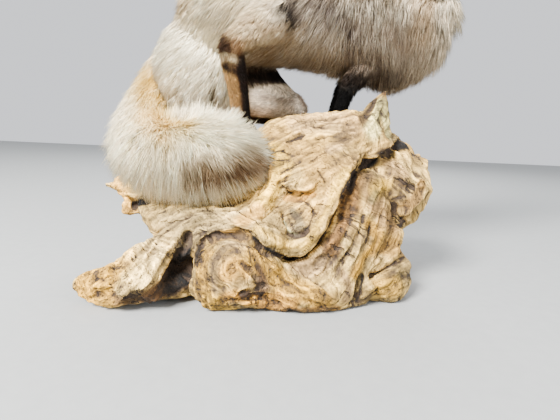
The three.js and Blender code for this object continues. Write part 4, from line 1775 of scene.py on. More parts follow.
def torso_zones() -> list[Zone]:
    """The trunk, the rump, the neck, the head and the tail.

    Returns:
        Their zones.
    """
    back = 0xAC7C52
    return [
        Zone(
            "trunk",
            ((-152, 0, 402, 38, 30, 34), (-136, 0, 414, 52, 47, 54), (-98, 0, 436, 64, 68, 67),
             (-30, 0, 448, 69, 76, 76), (60, 0, 449, 72, 81, 78), (124, 0, 455, 71, 84, 102),
             (168, 0, 462, 61, 78, 114), (198, 0, 472, 50, 66, 104), (226, 0, 490, 30, 44, 70)),
            ((0, 48, 20, 1.8, 30), (0.4, 52, 20, 1.7, 30), (0.75, 54, 21, 1.7, 30),
             (1, 54, 21, 1.7, 30)),
            ((0, 0xF0E4C8, 0xF6EEDA, 0xF6EEDA), (0.22, 0xD2B690, 0xEEE2C8, 0xEEE2CA),
             (0.42, back, 0xDCD3C6, 0xC9BDB1), (0.62, back, 0xDCD4CA, 0xC7BCB1),
             (0.82, 0xAA7E56, 0xDED4C5, 0xC0AF9C), (1, 0xAE7E54, 0xDED0BA, 0xEAE0CE)),
            lie=((0, -0.9, 0.7, 0), (0.4, -0.9, 0.8, 0), (0.58, -0.1, 1, 0), (0.68, 0.2, 1, 0),
             (0.8, -0.2, 1, 0), (0.92, -0.7, 0.9, 0), (1, -0.8, 0.8, 0)),
            grizzle=0.48, rings=56, sides=36,
        ),
        Zone(
            "rump",
            ((-138, 0, 424, 38, 42, 34), (-154, 0, 362, 52, 60, 52), (-158, 0, 308, 46, 60, 46),
             (-146, 0, 270, 34, 44, 26)),
            ((0, 48, 17, 1.8, 30), (0.35, 50, 19, 1.8, 30), (1, 48, 19, 1.7, 30)),
            ((0, 0xF0E6CE, 0xF0E6CE, 0xF0E6CE), (0.45, 0xF8F1E0, 0xF8F1E0, 0xF8F1E0),
             (1, MILK, MILK, MILK)),
            lie=((0, 1, 0, 0.6),),
            upright=Upright.FRONT, rings=32,
        ),
        Zone(
            "neck",
            ((150, 0, 484, 62, 58, 72), (206, 0, 518, 57, 56, 64), (260, 0, 568, 48, 47, 48),
             (300, 0, 614, 40, 40, 38)),
            ((0, 46, 23, 2.2, 26), (0.6, 42, 21, 2.1, 28), (1, 32, 15, 1.8, 32)),
            ((0, 0xAE7C52, 0xD0BA9C, MILK), (0.6, 0xB27A4C, 0xD4B690, MILK),
             (1, 0xB67C4C, 0xD8B286, MILK)),
            lie=((0, -1, 0.55, 0),),
            grizzle=0.25, rings=32, sides=32,
        ),
        Zone(
            "head",
            ((-4, 0, -4, 34, 27, 32), (18, 0, -3, 45, 36, 40), (40, 0, -5, 47, 41, 39),
             (60, 0, -7, 42, 40, 33), (78, 0, -9, 34, 33, 27), (92, 0, -13, 26, 25, 23),
             (108, 0, -18, 20, 20, 18.5), (128, 0, -22, 17, 16.5, 16), (146, 0, -24, 13.5, 14, 13),
             (153, 0, -24, 11, 11, 10)),
            ((0, 30, 13, 1.5, 40), (0.3, 20, 9, 1.2, 56), (0.5, 9, 4, 0.8, 100),
             (0.7, 5.5, 2, 0.6, 150), (1, 3.6, 1.3, 0.55, 170)),
            ((0, 0xBA885C, 0xD8B892, MILK), (0.3, 0xB88458, 0xD6B48E, MILK),
             (0.5, 0xBA865A, 0xD0A87E, MILK), (0.72, 0xB8865C, 0xD2B28E, MILK),
             (0.9, 0xA67854, 0xE4D4BE, MILK), (1, 0x78543A, 0xDECCB6, 0xECE2D2)),
            lie=((0, -1, 0, 0),),
            skull=Skull(), grizzle=0.12, rings=72, sides=48,
        ),
        Zone(
            "tail",
            ((-160, 10, 402, 18, 18, 18), (-205, 18, 350, 21, 21, 21),
             (-229, -10, 292, 24, 24, 24), (-226, -76, 237, 26, 26, 26),
             (-180, -137, 210, 27, 27, 27), (-122, -162, 209, 27, 27, 27),
             (-88, -168, 207, 24, 24, 24), (-72, -170, 204, 14, 14, 14)),
            ((0, 44, 16, 1.8, 34), (0.25, 60, 18, 1.7, 50), (0.45, 68, 19, 1.7, 60),
             (0.7, 72, 22, 1.7, 68), (0.85, 70, 24, 1.7, 70), (1, 54, 32, 1.7, 80)),
            ((0, 0xECD8B4, 0xECDAB8, 0xD6BA94), (0.3, 0xF2E4C8, 0xF0DEBC, 0xD6BA94),
             (0.55, 0xF0E4C8, 0xF0E2C6, 0xCEB492), (0.8, 0xF6EED6, 0xEADCBE, 0x9C7E5C),
             (1, 0xF0E8D2, 0xE2D6BE, 0xAA8E70)),
            lie=((0, 1, 0.2, 0), (0.26, 1, 0.1, 0.2), (0.4, 0.7, 0.1, 0.6), (0.5, 0.25, 0.1, 1),
             (0.68, 0.2, 0.1, 1), (0.8, 0.5, 0.1, 1), (0.9, 0.9, 0.1, 0.8), (1, 1, 0.1, 0.2)),
            rings=72, sides=20,
        ),
    ]


def sided_zones(side: str, hand: int) -> list[Zone]:
    """One ear and one foreleg.

    Args:
        side: right or left.
        hand: -1 for right, 1 for left.

    Returns:
        Their zones.
    """
    return [
        Zone(
            f"ear_{side}",
            on_side(
                ((20, 32, 22, 20, -3, 12), (21, 40, 44, 26, -4, 11), (23, 48, 68, 23.5, -3, 9.5),
                 (23, 55, 90, 14.5, -1.5, 7.5), (22, 60, 105, 6, -0.5, 5.6)), hand
            ),
            ((0, 9, 3, 0.9, 90), (0.6, 5, 1.6, 0.7, 120), (1, 5, 1.4, 0.7, 120)),
            ((0, 0xF4ECDA, 0xC89262, 0xB47A4C), (0.35, 0xF0E6D2, 0x78543A, 0x423026),
             (1, 0xD6C4AA, 0x2C221D, 0x181413)),
            upright=Upright.EAR_LEFT if hand > 0 else Upright.EAR_RIGHT, skull=Skull(), curl=0.5,
            rings=40, sides=40,
        ),
        Zone(
            f"upper_arm_{side}",
            on_side(
                ((142, 34, 388, 9, 13, 14), (124, 39, 350, 9, 12, 12),
                 (104, 43, 316, 10.5, 12, 12), (92, 44, 276, 11, 11, 11),
                 (88, 44, 238, 12, 12, 12), (90, 44, 222, 12, 12, 10)), hand
            ),
            ((0, 34, 11, 1.7, 30), (0.28, 18, 7, 1.5, 34), (0.45, 8, 3.5, 1, 60),
             (1, 5, 2.5, 0.8, 70)),
            ((0, 0x544840, 0x423831, 0x3C322B), (0.2, 0x241E1B, 0x1E1916, 0x221C19),
             (0.34, 0x0E0C0C, 0x0A0909, 0x100D0C), (1, 0x080707, 0x070606, 0x0A0909)),
            upright=Upright.FRONT, rings=44,
        ),
    ]


def hind_zones() -> list[Zone]:
    """The two hind legs.

    Returns:
        The zones of each thigh, shank and foot.
    """
    return [
        Zone(
            "thigh_right",
            ((-112, -36, 452, 32, 50, 54), (-50, -44, 448, 27, 44, 48), (6, -44, 440, 20, 30, 32)),
            ((0, 46, 19, 1.6, 42), (1, 40, 15, 1.6, 44)),
            ((0, 0xF4EBD6, 0xF6EFDC, 0xF6EFDC), (1, 0xE0D6C4, 0xE0D5C3, 0xC4B29A)),
            lie=((0, -0.7, 1, 0),),
            rings=32,
        ),
        Zone(
            "shank_right",
            ((10, -54, 436, 17, 28, 26), (-34, -78, 408, 17, 27, 24), (-72, -99, 376, 15, 18, 18),
             (-88, -103, 356, 13.5, 15, 15)),
            ((0, 30, 11, 1.6, 42), (0.6, 22, 8, 1.4, 46), (1, 12, 5, 1.1, 56)),
            ((0, 0xD4C8B4, 0xE4DAC6, 0xDCD0BC), (0.6, 0xC4B294, 0xD6C8AE, 0xDCD0B8),
             (1, 0x684E36, 0x74563C, 0x8C6C4C)),
            lie=((0, 1, 0.35, 0),),
            rings=36,
        ),
        Zone(
            "foot_right",
            ((-86, -103, 362, 13, 16, 15.5), (-81, -103, 340, 13.5, 19, 17),
             (-72, -103, 300, 12, 15.5, 14.5), (-65, -103, 258, 13, 14, 14)),
            ((0, 8, 4, 1, 60), (1, 5, 2.6, 0.8, 70)),
            ((0, 0x604632, 0x5A412E, 0x4C3728), (0.2, 0x685038, 0xBEA67A, 0xC2AA7E),
             (0.45, 0x423124, 0xB29468, 0xB89A6E), (0.8, 0x32261D, 0xA4865C, 0xAA8C62),
             (1, 0x2C231C, 0x826646, 0x8C704E)),
            upright=Upright.FRONT, rings=36,
        ),
        Zone(
            "thigh_left",
            ((-112, 38, 404, 28, 44, 44), (-56, 44, 342, 30, 32, 34), (0, 33, 298, 27, 22, 30),
             (24, 26, 284, 20, 18, 18)),
            ((0, 36, 14, 1.8, 30), (0.45, 14, 5, 1.1, 50), (1, 9, 3.4, 0.9, 60)),
            ((0, 0xCEB08C, CREAM, CREAM), (0.5, 0xD8CCBC, 0xDCD2C6, 0xD8CEC0),
             (1, 0xDCD2C6, 0xDCD2C8, 0xD6CCC0)),
            lie=((0, 1, 0.2, 0),),
            rings=36,
        ),
        Zone(
            "shank_left",
            ((18, 24, 288, 19, 23, 21), (-40, 22, 294, 19, 27, 27), (-92, 22, 286, 14, 19, 19)),
            ((0, 9, 3.4, 0.9, 62), (1, 8, 3.2, 0.9, 62)),
            ((0, 0xDED5CA, 0xDCD3C8, 0xC4B8AA), (1, 0xD2C6B8, 0xC8BAA8, 0xA0866C)),
            rings=28,
        ),
        Zone(
            "foot_left",
            ((-102, 50, 276, 15, 17, 16), (-60, 62, 270, 13.5, 14, 14), (-6, 69, 266, 14, 13, 12)),
            ((0, 7, 3.4, 1, 60), (1, 5, 2.6, 0.8, 70)),
            ((0, 0x806E5A, 0x867460, 0x746250), (1, 0x342B24, 0x40352C, 0x2E2620)),
            rings=28,
        ),
    ]


def fox_zones() -> list[Zone]:
    """The whole body, part by part.

    Returns:
        The zones, from the trunk to the paws.
    """
    fore = sided_zones("right", -1) + sided_zones("left", 1)
    return torso_zones() + fore + hind_zones() + fox_paws()


def fox_paws() -> list[Zone]:
    """The four paws, each a pad with four toes.

    Returns:
        The zones, each paw's pad before its toes.
    """
    coat = ((0, 5, 2.5, 0.9, 60), (1, 4, 2.0, 0.8, 60))
    tints = ((0.0, 0x2C221D, 0x342821, 0x281F1B), (1.0, 0x221B18, 0x281F1B, 0x1E1816))
    fore, hind = ((24, 19, 15), (13.5, 6.6, 7.6), 17, 11), ((23, 17, 14), (12.5, 6.2, 7.4), 16, 10)
    zones = []
    for name, x, y, level, (half, toe, reach, spread) in (
        ("paw_fore_right", 98, -44, 205, fore),
        ("paw_fore_left", 98, 44, 205, fore),
        ("paw_hind_right", -64, -103, 232, hind),
        ("paw_hind_left", 14, 70, 250, hind),
    ):
        length, wide, high = half
        middle = level + high + 1.0
        pad = (
            (x - 0.55 * length, y, middle, 0.8 * wide, 0.9 * high, 0.9 * high),
            (x, y, middle, wide, high, high),
            (x + 0.45 * length, y, middle - 2, 0.85 * wide, 0.8 * high, 0.8 * high),
        )
        zones.append(Zone(name, pad, coat, tints, rings=20, sides=20))
        long, broad, tall = toe
        for k, place in enumerate((-1.5, -0.5, 0.5, 1.5)):
            front, beside = x + reach - 4 * abs(place), y + place * spread
            low, splay = level + tall, 0.4 * place
            finger = (
                (front - 0.5 * long, beside - splay, low + 2, broad, tall, tall),
                (front + 0.1 * long, beside, low + 1.6, broad, tall, tall),
                (front + 0.5 * long, beside + splay, low, broad * 0.9, tall * 0.9, tall * 0.9),
            )
            zones.append(Zone(f"{name}_toe_{k}", finger, coat, tints, rings=16, sides=14))
    return zones


@dataclass(frozen=True)
class Marking:
    """A soft patch of another colour, in head coordinates if it has a skull."""

    at: Triple
    half: Triple
    colour: Colour
    strength: float = 1.0
    skull: Skull | None = None

    def weight(self, design: Array) -> Array:
        """How strongly it covers each design place.

        Args:
            design: places in design coordinates.

        Returns:
            A share from 0 to 1 for each.
        """
        local = self.skull.into(design) if self.skull else design
        out = (local / MM - np.array(self.at)) / np.array(self.half)
        return self.strength * smoothstep(1.25, 0.75, np.linalg.norm(out, axis=1))


@dataclass(frozen=True)
class Seam:
    """A narrow dark line on the face, in head coordinates, where little hair grows."""

    path: tuple[Triple, ...]
    radius: float
    colour: Colour
    strength: float = 1.0
    bare: float = 1.0

    def gap(self, local: Array) -> Array:
        """Each place's distance from the line, as a multiple of its radius.

        Args:
            local: places in head millimetres.

        Returns:
            The multiples, and 9 far from the line.
        """
        low = np.min(self.path, axis=0) - 3.0 * self.radius
        high = np.max(self.path, axis=0) + 3.0 * self.radius
        out = np.full(len(local), 9.0)
        near = np.nonzero(np.all((local > low) & (local < high), axis=1))[0]
        line = Line(self.path).at(np.linspace(0, 1, 50))
        if len(near):
            distance = np.linalg.norm(local[near][:, None, :] - line[None, :, :], axis=2).min(1)
            out[near] = distance / self.radius
        return out


@dataclass(frozen=True)
class EyeSocket:
    """How an eye sits in the head, in millimetres in head coordinates."""

    side: int
    at: Triple = (80.4, 22.6, 10.0)
    radius: float = 9.0
    half_length: float = 8.8
    lid_over: float = 4.3
    lid_under: float = 4.1

    def centre(self) -> Array:
        """The middle of the eyeball."""
        return np.array(self.at) * (1, self.side, 1)

    def axes(self) -> tuple[Array, Array, Array]:
        """The directions out of the lids, from the outer to the inner corner, and up.

        Returns:
            The outward, inward and upward unit directions.
        """
        outward = unit(np.array([0.64, self.side * 0.74, 0.20]))
        inward = np.array([0.80, -self.side * 0.50, -0.34])
        inward = unit(inward - outward * (inward @ outward))
        upward = np.cross(outward, inward)
        return outward, inward, upward if upward[2] > 0 else -upward

    def lids(self, a: Array) -> tuple[Array, Array]:
        """The heights of the upper and lower lid at places along the opening."""
        curve = np.clip(1.0 - (a / self.half_length) ** 2, 0.0, 1.0) ** 0.8
        return self.lid_over * curve, -self.lid_under * curve

    def opening(self, a: Array, b: Array) -> Array:
        """How far from the middle of the opening a place is: 1 is on the lids' edge."""
        lid = np.where(b > 0, self.lid_over, self.lid_under)
        return np.sqrt((np.abs(b) / lid) ** 1.25 + (a / self.half_length) ** 2)

    def rim(self, upper: bool) -> tuple[Triple, ...]:
        """The edge of one lid, on a ball just outside the eye.

        Args:
            upper: whether it is the upper lid.

        Returns:
            Places along the edge.
        """
        outward, inward, upward = self.axes()
        a = np.linspace(-self.half_length, self.half_length, 9)
        top, bottom = self.lids(a)
        b = top if upper else bottom
        shell = self.radius + 1.2
        c = np.sqrt(np.maximum(shell**2 - a**2 - b**2, 0.0))
        rows = self.centre() + a[:, None] * inward + b[:, None] * upward + c[:, None] * outward
        return tuple(tuple(row) for row in rows)


MOUTH: tuple[Triple, ...] = (
    (152, 0, -29.5),
    (147, 8, -30),
    (136, 14.5, -30.5),
    (118, 18.5, -31.5),
    (100, 22.5, -30.5),
    (86, 27, -26),
)


def fox_seams() -> list[Seam]:
    """The lips and the lids, with the dark line that runs down from each eye.

    Returns:
        The seams of both sides.
    """
    seams = []
    for side in (1, -1):
        mouth = tuple((x, y * side, z) for x, y, z in MOUTH)
        seams.append(Seam(mouth, 2.0, 0x1E1614, 1.0, 0.95))
        socket = EyeSocket(side)
        seams.append(Seam(socket.rim(True), 1.5, 0x181210, 1.0, 1.0))
        seams.append(Seam(socket.rim(False), 1.4, 0x181210, 1.0, 1.0))
        tear = ((92, side * 22.5, 5.0), (98, side * 19.5, -1), (105, side * 18, -7))
        seams.append(Seam(tear, 2.2, 0x32221A, 0.7, 0.0))
    return seams


@dataclass(frozen=True)
class Shade:
    """A soft streak of another colour on the near side of some parts of the body.

    Its path and its radius are drawn in the camera's frame. Some streaks are the coat's own
    colour; those in the folds and creases and under the body are painted shade.
    """

    parts: tuple[str, ...]
    path: Path
    radius: float
    colour: Colour
    strength: float = 0.8

    @classmethod
    def of(
        cls, parts: tuple[str, ...], radius: float, colour: Colour, strength: float, *path: float
    ) -> "Shade":
        """The streak that one row of the table gives."""
        return cls(parts, pairs(path), radius, colour, strength)

    def weight(self, pixels: Array) -> Array:
        """How strongly it covers each place in the frame.

        Args:
            pixels: the places.

        Returns:
            A share from 0 to 1 for each.
        """
        if len(self.path) < 2:
            gap = np.linalg.norm(pixels - np.array(self.path[0]), axis=1)
        else:
            ends = np.array(self.path, float)
            first, run = ends[:-1], ends[1:] - ends[:-1]
            away = pixels[:, None, :] - first[None, :, :]
            share = np.clip((away * run).sum(2) / (run * run).sum(1), 0.0, 1.0)
            gap = np.linalg.norm(away - share[:, :, None] * run, axis=2).min(1)
        return self.strength * smoothstep(1.6, 0.5, gap / self.radius)


@dataclass
class StreaksAndShade:
    """Lays the near side's streaks and painted shade on places of the skin and of the coat."""

    viewpoint: Viewpoint
    shades: list[Shade]

    def laid(self, tint: Array, places: Array, normals: Array, names: Array) -> Array:
        """The colours with the streaks over them.

        Args:
            tint: colours.
            places: where they are in the frame.
            normals: the skin's outward directions there.
            names: the part of the body each place belongs to.

        Returns:
            The new colours.
        """
        pixels, sight = self.viewpoint.pixel(places)
        near_face = smoothstep(0.4, 0.0, dot(sight, normals))
        noise = Noise(SEED + 8)
        patchy = 0.95 + 0.5 * noise.rough(places, 0.011, 2) + 0.6 * noise.rough(places, 0.0045, 2)
        patchy = np.clip(patchy, 0.2, 1.15)
        tint = tint.copy()
        for shade in self.shades:
            amount = shade.weight(pixels) * np.isin(names, shade.parts) * near_face * patchy
            tint += (rgb(shade.colour) - tint) * np.clip(amount, 0, 1)[:, None]
        return tint


def fox_shades() -> list[Shade]:
    """The winter coat's darker and paler streaks, and painted shade in folds and under the body.

    Returns:
        The streaks, in the order they are laid.
    """
    body = ("trunk", "upper_arm_right", "neck", "thigh_right", "shank_right")
    leg = ("shank_right", "foot_right")
    rows = (
        (("tail",), 17, 0xCCAE68, 1, 148, 84, 160, 104, 178, 122),
        (("tail",), 12, 0xDEC490, 0.6, 146, 118, 166, 138),
        (("tail",), 10, 0xFAF3DC, 0.6, 178, 136, 206, 142, 238, 150),
        (("tail",), 9, 0xF4F0E2, 0.6, 112, 92, 110, 130, 118, 165),
        (("tail",), 9, 0xA08668, 0.65, 206, 167, 234, 162, 260, 156),
        (("tail",), 13, 0x70543C, 0.9, 194, 183, 226, 177, 262, 167),
        (("tail",), 8, 0x543E2C, 0.9, 190, 188, 222, 187, 252, 179),
        (body, 8, 0x8C807A, 0.7, 296, 0, 312, 18, 322, 30),
        (body, 7, 0x605452, 0.8, 320, -6, 335, 15, 354, 40),
        (body, 9, 0xBEB2A8, 0.4, 268, 12, 300, 40, 330, 48),
        (body, 5, 0xAA9274, 0.5, 262, 34, 280, 31, 300, 32),
        (body, 10, 0xF0E3C8, 0.7, 220, 4, 240, 12, 256, 16),
        # Painted shade in the fold of the flank, in front of the thigh.
        (body, 6, 0x141012, 1, 285, 10, 291, 16, 293, 25),
        (body, 9, 0xB4A99E, 0.45, 255, 54, 300, 56, 345, 60, 388, 70, 415, 62),
        (body, 5, 0x8E837A, 0.7, 248, 66, 300, 68, 345, 72),
        (("trunk", "rump", "thigh_right"), 15, 0xF6F0E0, 0.9, 158, 36, 190, 46, 218, 54),
        # Darker brown right of the hock: partly the belly's own brown, partly painted shade under
        # the body.
        (body, 8, 0x846A4C, 0.6, 248, 44, 262, 60),
        (body, 10, 0xB29E86, 0.55, 248, 22, 264, 32, 284, 42),
        # Painted shade under the chest, over the dark fur of the foreleg.
        (body, 7, 0x382E28, 0.85, 346, 80, 372, 86, 396, 83),
        # Painted shade at the elbow, under the chest.
        (body, 7, 0x68584C, 0.7, 350, 64, 372, 62, 384, 72),
        (body, 6, 0x968476, 0.55, 358, 22, 384, 44, 412, 34),
        (body, 8, 0xAA9686, 0.5, 388, 30, 404, 52), (body, 12, 0xAE9A82, 0.8, 426, -4, 420, 40),
        (leg, 6, 0x3E2C20, 0.95, 221, 39, 224, 44, 226, 52),
        (leg, 5, 0x785A40, 0.6, 236, 42, 238, 52),
        (leg, 3.2, 0xE2D2B4, 0.95, 214, 60, 228, 58, 240, 61),
        # Painted shadow under the pale fringe of the hock.
        (leg, 5, 0x281B14, 0.95, 226, 66, 240, 71, 246, 78),
        (leg, 7, 0x221711, 1, 245, 62, 248, 90, 250, 118),
        (leg, 3.5, 0xDEB880, 0.9, 217, 68, 224, 92, 230, 116),
        (leg, 4, 0x927654, 0.6, 233, 84, 238, 112),
        # Painted shade down the far hind leg's left edge in the frame.
        (("thigh_left", "shank_left"), 4, 0x6E5A4C, 0.6, 293, 78, 306, 104),
        # Painted shade in the far groin, under the belly.
        (("thigh_left", "trunk"), 6, 0x221A16, 0.95, 252, 76, 288, 77),
        # Painted shade in the crease between the rump and the leg.
        (("rump",), 2.5, 0x605040, 0.9, 213, 90, 211, 115),
        (("shank_left",), 2.5, 0x96887E, 0.5, 262, 98, 292, 102),
    )
    return [Shade.of(*row) for row in rows]


def fox_markings() -> list[Marking]:
    """The mask, the lips, the chest's blaze, and painted shade in the ears and under the belly.

    Returns:
        The markings, in the order they are laid.
    """
    skull = Skull()
    marks = []
    for side in (1, -1):
        marks += [
            Marking((112, side * 18, -13), (16, 8, 6), 0x543A2A, 0.45, skull),
            Marking((84, side * 30, 11), (12, 12, 8), 0x463024, 0.55, skull),
            Marking((112, side * 20, -26), (34, 12, 10), MILK, 1.0, skull),
            Marking((62, side * 46, -22), (30, 20, 18), MILK, 0.9, skull),
            Marking((66, side * 22, 30), (10, 9, 7), 0xCEA478, 0.5, skull),
            # The darker middle of each ear's cup: painted shade in the hollow, over its greyer
            # skin.
            Marking((27, side * 47, 60), (10, 9, 26), 0x967E6C, 0.75, skull),
        ]
    marks += [
        Marking((124, 0, -42), (44, 20, 12), MILK, 1.0, skull),
        Marking((40, 0, -48), (50, 40, 22), MILK, 0.9, skull),
        # Painted shade under the belly and in the far groin.
        Marking((-34, 6, 350), (64, 40, 20), 0x342820, 0.9),
    ]
    return marks


@dataclass
class Lie:
    """What the coat does at each vertex of the skin."""

    way: Array
    length: Array
    depth: Array
    width: Array
    density: Array
    tint: Array
    unshaded: Array
    grizzle: Array
    zone: Array


@dataclass
class Hide:
    """The fox's one skin, without a seam, and the plan of the coat over it."""

    home: Home
    viewpoint: Viewpoint
    zones: list[Zone] = field(default_factory=fox_zones)
    markings: list[Marking] = field(default_factory=fox_markings)
    seams: list[Seam] = field(default_factory=fox_seams)
    shades: list[Shade] = field(default_factory=fox_shades)
    voxel: float = 0.0031
    skin_shade: float = 0.85

    def build(self) -> Item:
        """Grows the skin, shapes its face and unwraps it.

        Returns:
            The skin.
        """
        limbs = [zone.limb(self.home) for zone in self.zones]
        skin = joined(limbs, "hide")
        apply_modifier(skin, "REMESH", mode="VOXEL", voxel_size=self.voxel)
        mesh = skin.data
        points, edges = relax(points_of(mesh), edges_of(mesh), 5), edges_of(mesh)
        x, y, z = self.home.back(points).T
        # The trunk and the rump are made smoother than the legs and the head.
        body = smoothstep(-0.205, -0.185, x) * smoothstep(0.25, 0.20, x)
        behind = smoothstep(-0.105, -0.125, x) * (np.abs(y) < 0.075)
        body *= np.maximum(smoothstep(0.37, 0.40, z), behind)
        set_points(mesh, points + body[:, None] * (relax(points, edges, 36) - points))
        self._refine_face(skin)
        self._shape_face(mesh)
        smooth_shaded(skin)
        mesh.uv_layers.new(name="OFBake")
        bpy.ops.object.mode_set(mode="EDIT")
        bpy.ops.mesh.select_all(action="SELECT")
        bpy.ops.uv.smart_project(angle_limit=math.radians(66), island_margin=0.001)
        bpy.ops.object.mode_set(mode="OBJECT")
        return skin

    def dress(self, skin: Item) -> Lie:
        """Tints the skin as its coat is.

        Args:
            skin: the fox's skin.

        Returns:
            The coat's plan.
        """
        lie = self.plan(skin.data)
        store(skin.data, "tint", with_alpha(to_linear(lie.tint * self.skin_shade) ** CONTRAST))
        skin.data.materials.clear()
        skin.data.materials.append(SkinFinish().build())
        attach(skin, "root")
        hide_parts(*FLESH)
        return lie

    def _refine_face(self, skin: Item) -> None:
        """Divides the faces around the muzzle, and those by the eyes once more.

        Args:
            skin: the fox's skin.
        """
        mesh, eye, reach = skin.data, (84.5, 27.5, 11.5), 13
        local = self._in_head(mesh)
        self._divide(skin, (local[:, 0] > 62) & (np.abs(local[:, 1]) < 45) & (local[:, 2] < 34), 2)
        local = self._in_head(mesh)
        beside = local * (1, 0, 1) + np.abs(local) * (0, 1, 0)
        self._divide(skin, np.linalg.norm(beside - eye, axis=1) < reach, 1)
        local = self._in_head(mesh)
        points = points_of(mesh)
        inside = ((local[:, 0] > 60) & (local[:, 2] < 36)).astype(float)[:, None]
        set_points(mesh, points + inside * (relax(points, edges_of(mesh), 6) - points))

    def _in_head(self, mesh: Mesh) -> Array:
        """The skin's vertex places in head millimetres."""
        return Skull().into(self.home.back(points_of(mesh))) / MM

    def _divide(self, skin: Item, picked: Array, cuts: int) -> None:
        """Divides the faces whose corners are all picked.

        Args:
            skin: the fox's skin.
            picked: whether each vertex is picked.
            cuts: how often each edge is cut.
        """
        mesh = skin.data
        faces = np.zeros(len(mesh.polygons), bool)
        for polygon in mesh.polygons:
            faces[polygon.index] = all(picked[v] for v in polygon.vertices)
        only(skin)
        bpy.ops.object.mode_set(mode="EDIT")
        bpy.ops.mesh.select_mode(type="FACE")
        bpy.ops.mesh.select_all(action="DESELECT")
        bpy.ops.object.mode_set(mode="OBJECT")
        mesh.polygons.foreach_set("select", faces)
        bpy.ops.object.mode_set(mode="EDIT")
        bpy.ops.mesh.subdivide(number_cuts=cuts, smoothness=0.0)
        bpy.ops.mesh.select_all(action="DESELECT")
        bpy.ops.object.mode_set(mode="OBJECT")

    def _shape_face(self, mesh: Mesh) -> None:
        """Sets the eyes in their lids, cuts the mouth and models the muzzle.

        Args:
            mesh: the skin's mesh.
        """
        local = self._in_head(mesh)
        spine = np.stack([local[:, 0], np.zeros(len(local)), np.full(len(local), -14.0)], 1)
        outward_of = unit(local - spine)
        for side in (1, -1):
            # The bridge, the brow, the cheekbone, the lip and the muzzle's top.
            swells = (
                ((96, side * 19, 5), (9, 5, 6), -1.6),
                ((76, side * 25, 24), (12, 7, 5), 2.2),
                ((72, side * 33, 3), (12, 8, 8), 1.5),
                ((126, side * 14, -27), (16, 6, 6), 1.8),
                ((100, side * 12, 4), (20, 4, 6), 0.8),
            )
            for at, half, height in swells:
                gap = np.linalg.norm((local - np.array(at)) / np.array(half), axis=1)
                local = local + outward_of * (height * np.exp(-(gap**2)))[:, None]
            mouth = Seam(tuple((x, y * side, z) for x, y, z in MOUTH), 1.5, SOOT)
            local = local - outward_of * (2.1 * np.exp(-(mouth.gap(local) ** 2)))[:, None]
            # The lower jaw is a little narrower and shorter than the upper one.
            jaw = smoothstep(-30.5, -33.5, local[:, 2]) * smoothstep(84, 104, local[:, 0])
            local[:, 1] *= 1.0 - 0.07 * jaw
            local[:, 0] -= 1.6 * jaw * smoothstep(140, 150, local[:, 0])
            socket = EyeSocket(side)
            outward, inward, upward = socket.axes()
            gap = local - socket.centre()
            near = np.linalg.norm(gap, axis=1) < 21
            facing = gap @ outward > 0.0
            a, b = gap @ inward, gap @ upward
            direction = unit(gap)
            reach_over = np.where(b > 0, b / (socket.lid_over + 1.5), -b / (socket.lid_under + 1.5))
            rim = np.hypot(a / (socket.half_length + 1.0), reach_over)
            wrap = smoothstep(2.1, 1.15, rim) * near * facing
            wrapped = socket.centre() + direction * (socket.radius + 1.4)
            local = local + (wrapped - local) * wrap[:, None]
            depth_in = 4.2 * smoothstep(1.12, 0.84, socket.opening(a, b)) * near * facing
            local = local - direction * depth_in[:, None]
        set_points(mesh, self.home.put(Skull().out(local * MM)))

    def plan(self, mesh: Mesh) -> Lie:
        """Works out the coat at each vertex.

        Args:
            mesh: the skin.

        Returns:
            The coat's lie, length, depth, colour and the rest.
        """
        points, normals, edges = points_of(mesh), normals_of(mesh), edges_of(mesh)
        design = self.home.back(points)
        sums, tint, way, zone_of = self._blended(design, normals)
        tint, bare = self._marked(tint, design)
        way = combed(way, normals, edges, 10)
        mottle = Noise(SEED + 3).rough(points, 0.05, 3)
        unshaded = tint * (1.0 + 0.05 * mottle)[:, None]
        names = np.array([zone.name for zone in self.zones])[zone_of]
        tint = StreaksAndShade(self.viewpoint, self.shades).laid(unshaded, points, normals, names)
        for key in ("length", "depth", "density"):
            sums[key] = relax(sums[key], edges, 6)
        sums["density"] *= 1.0 - bare
        for at, reach, more in THICKER:
            gap = np.linalg.norm(design / MM - np.array(at), axis=1) / reach
            sums["density"] *= 1.0 + more * np.exp(-(gap**2))
        # The near side has more and finer hair than the far side.
        near_side = smoothstep(-0.3, 0.6, -normals[:, 1])
        sums["density"] *= 0.57 + 0.62 * near_side
        sums["width"] *= 1.12 - 0.34 * near_side
        sizes = (sums[key] * MM for key in ("length", "depth", "width"))
        tints = (relax(colours, edges, 1) for colours in (tint, unshaded))
        return Lie(way, *sizes, sums["density"], *tints, sums["grizzle"], zone_of)

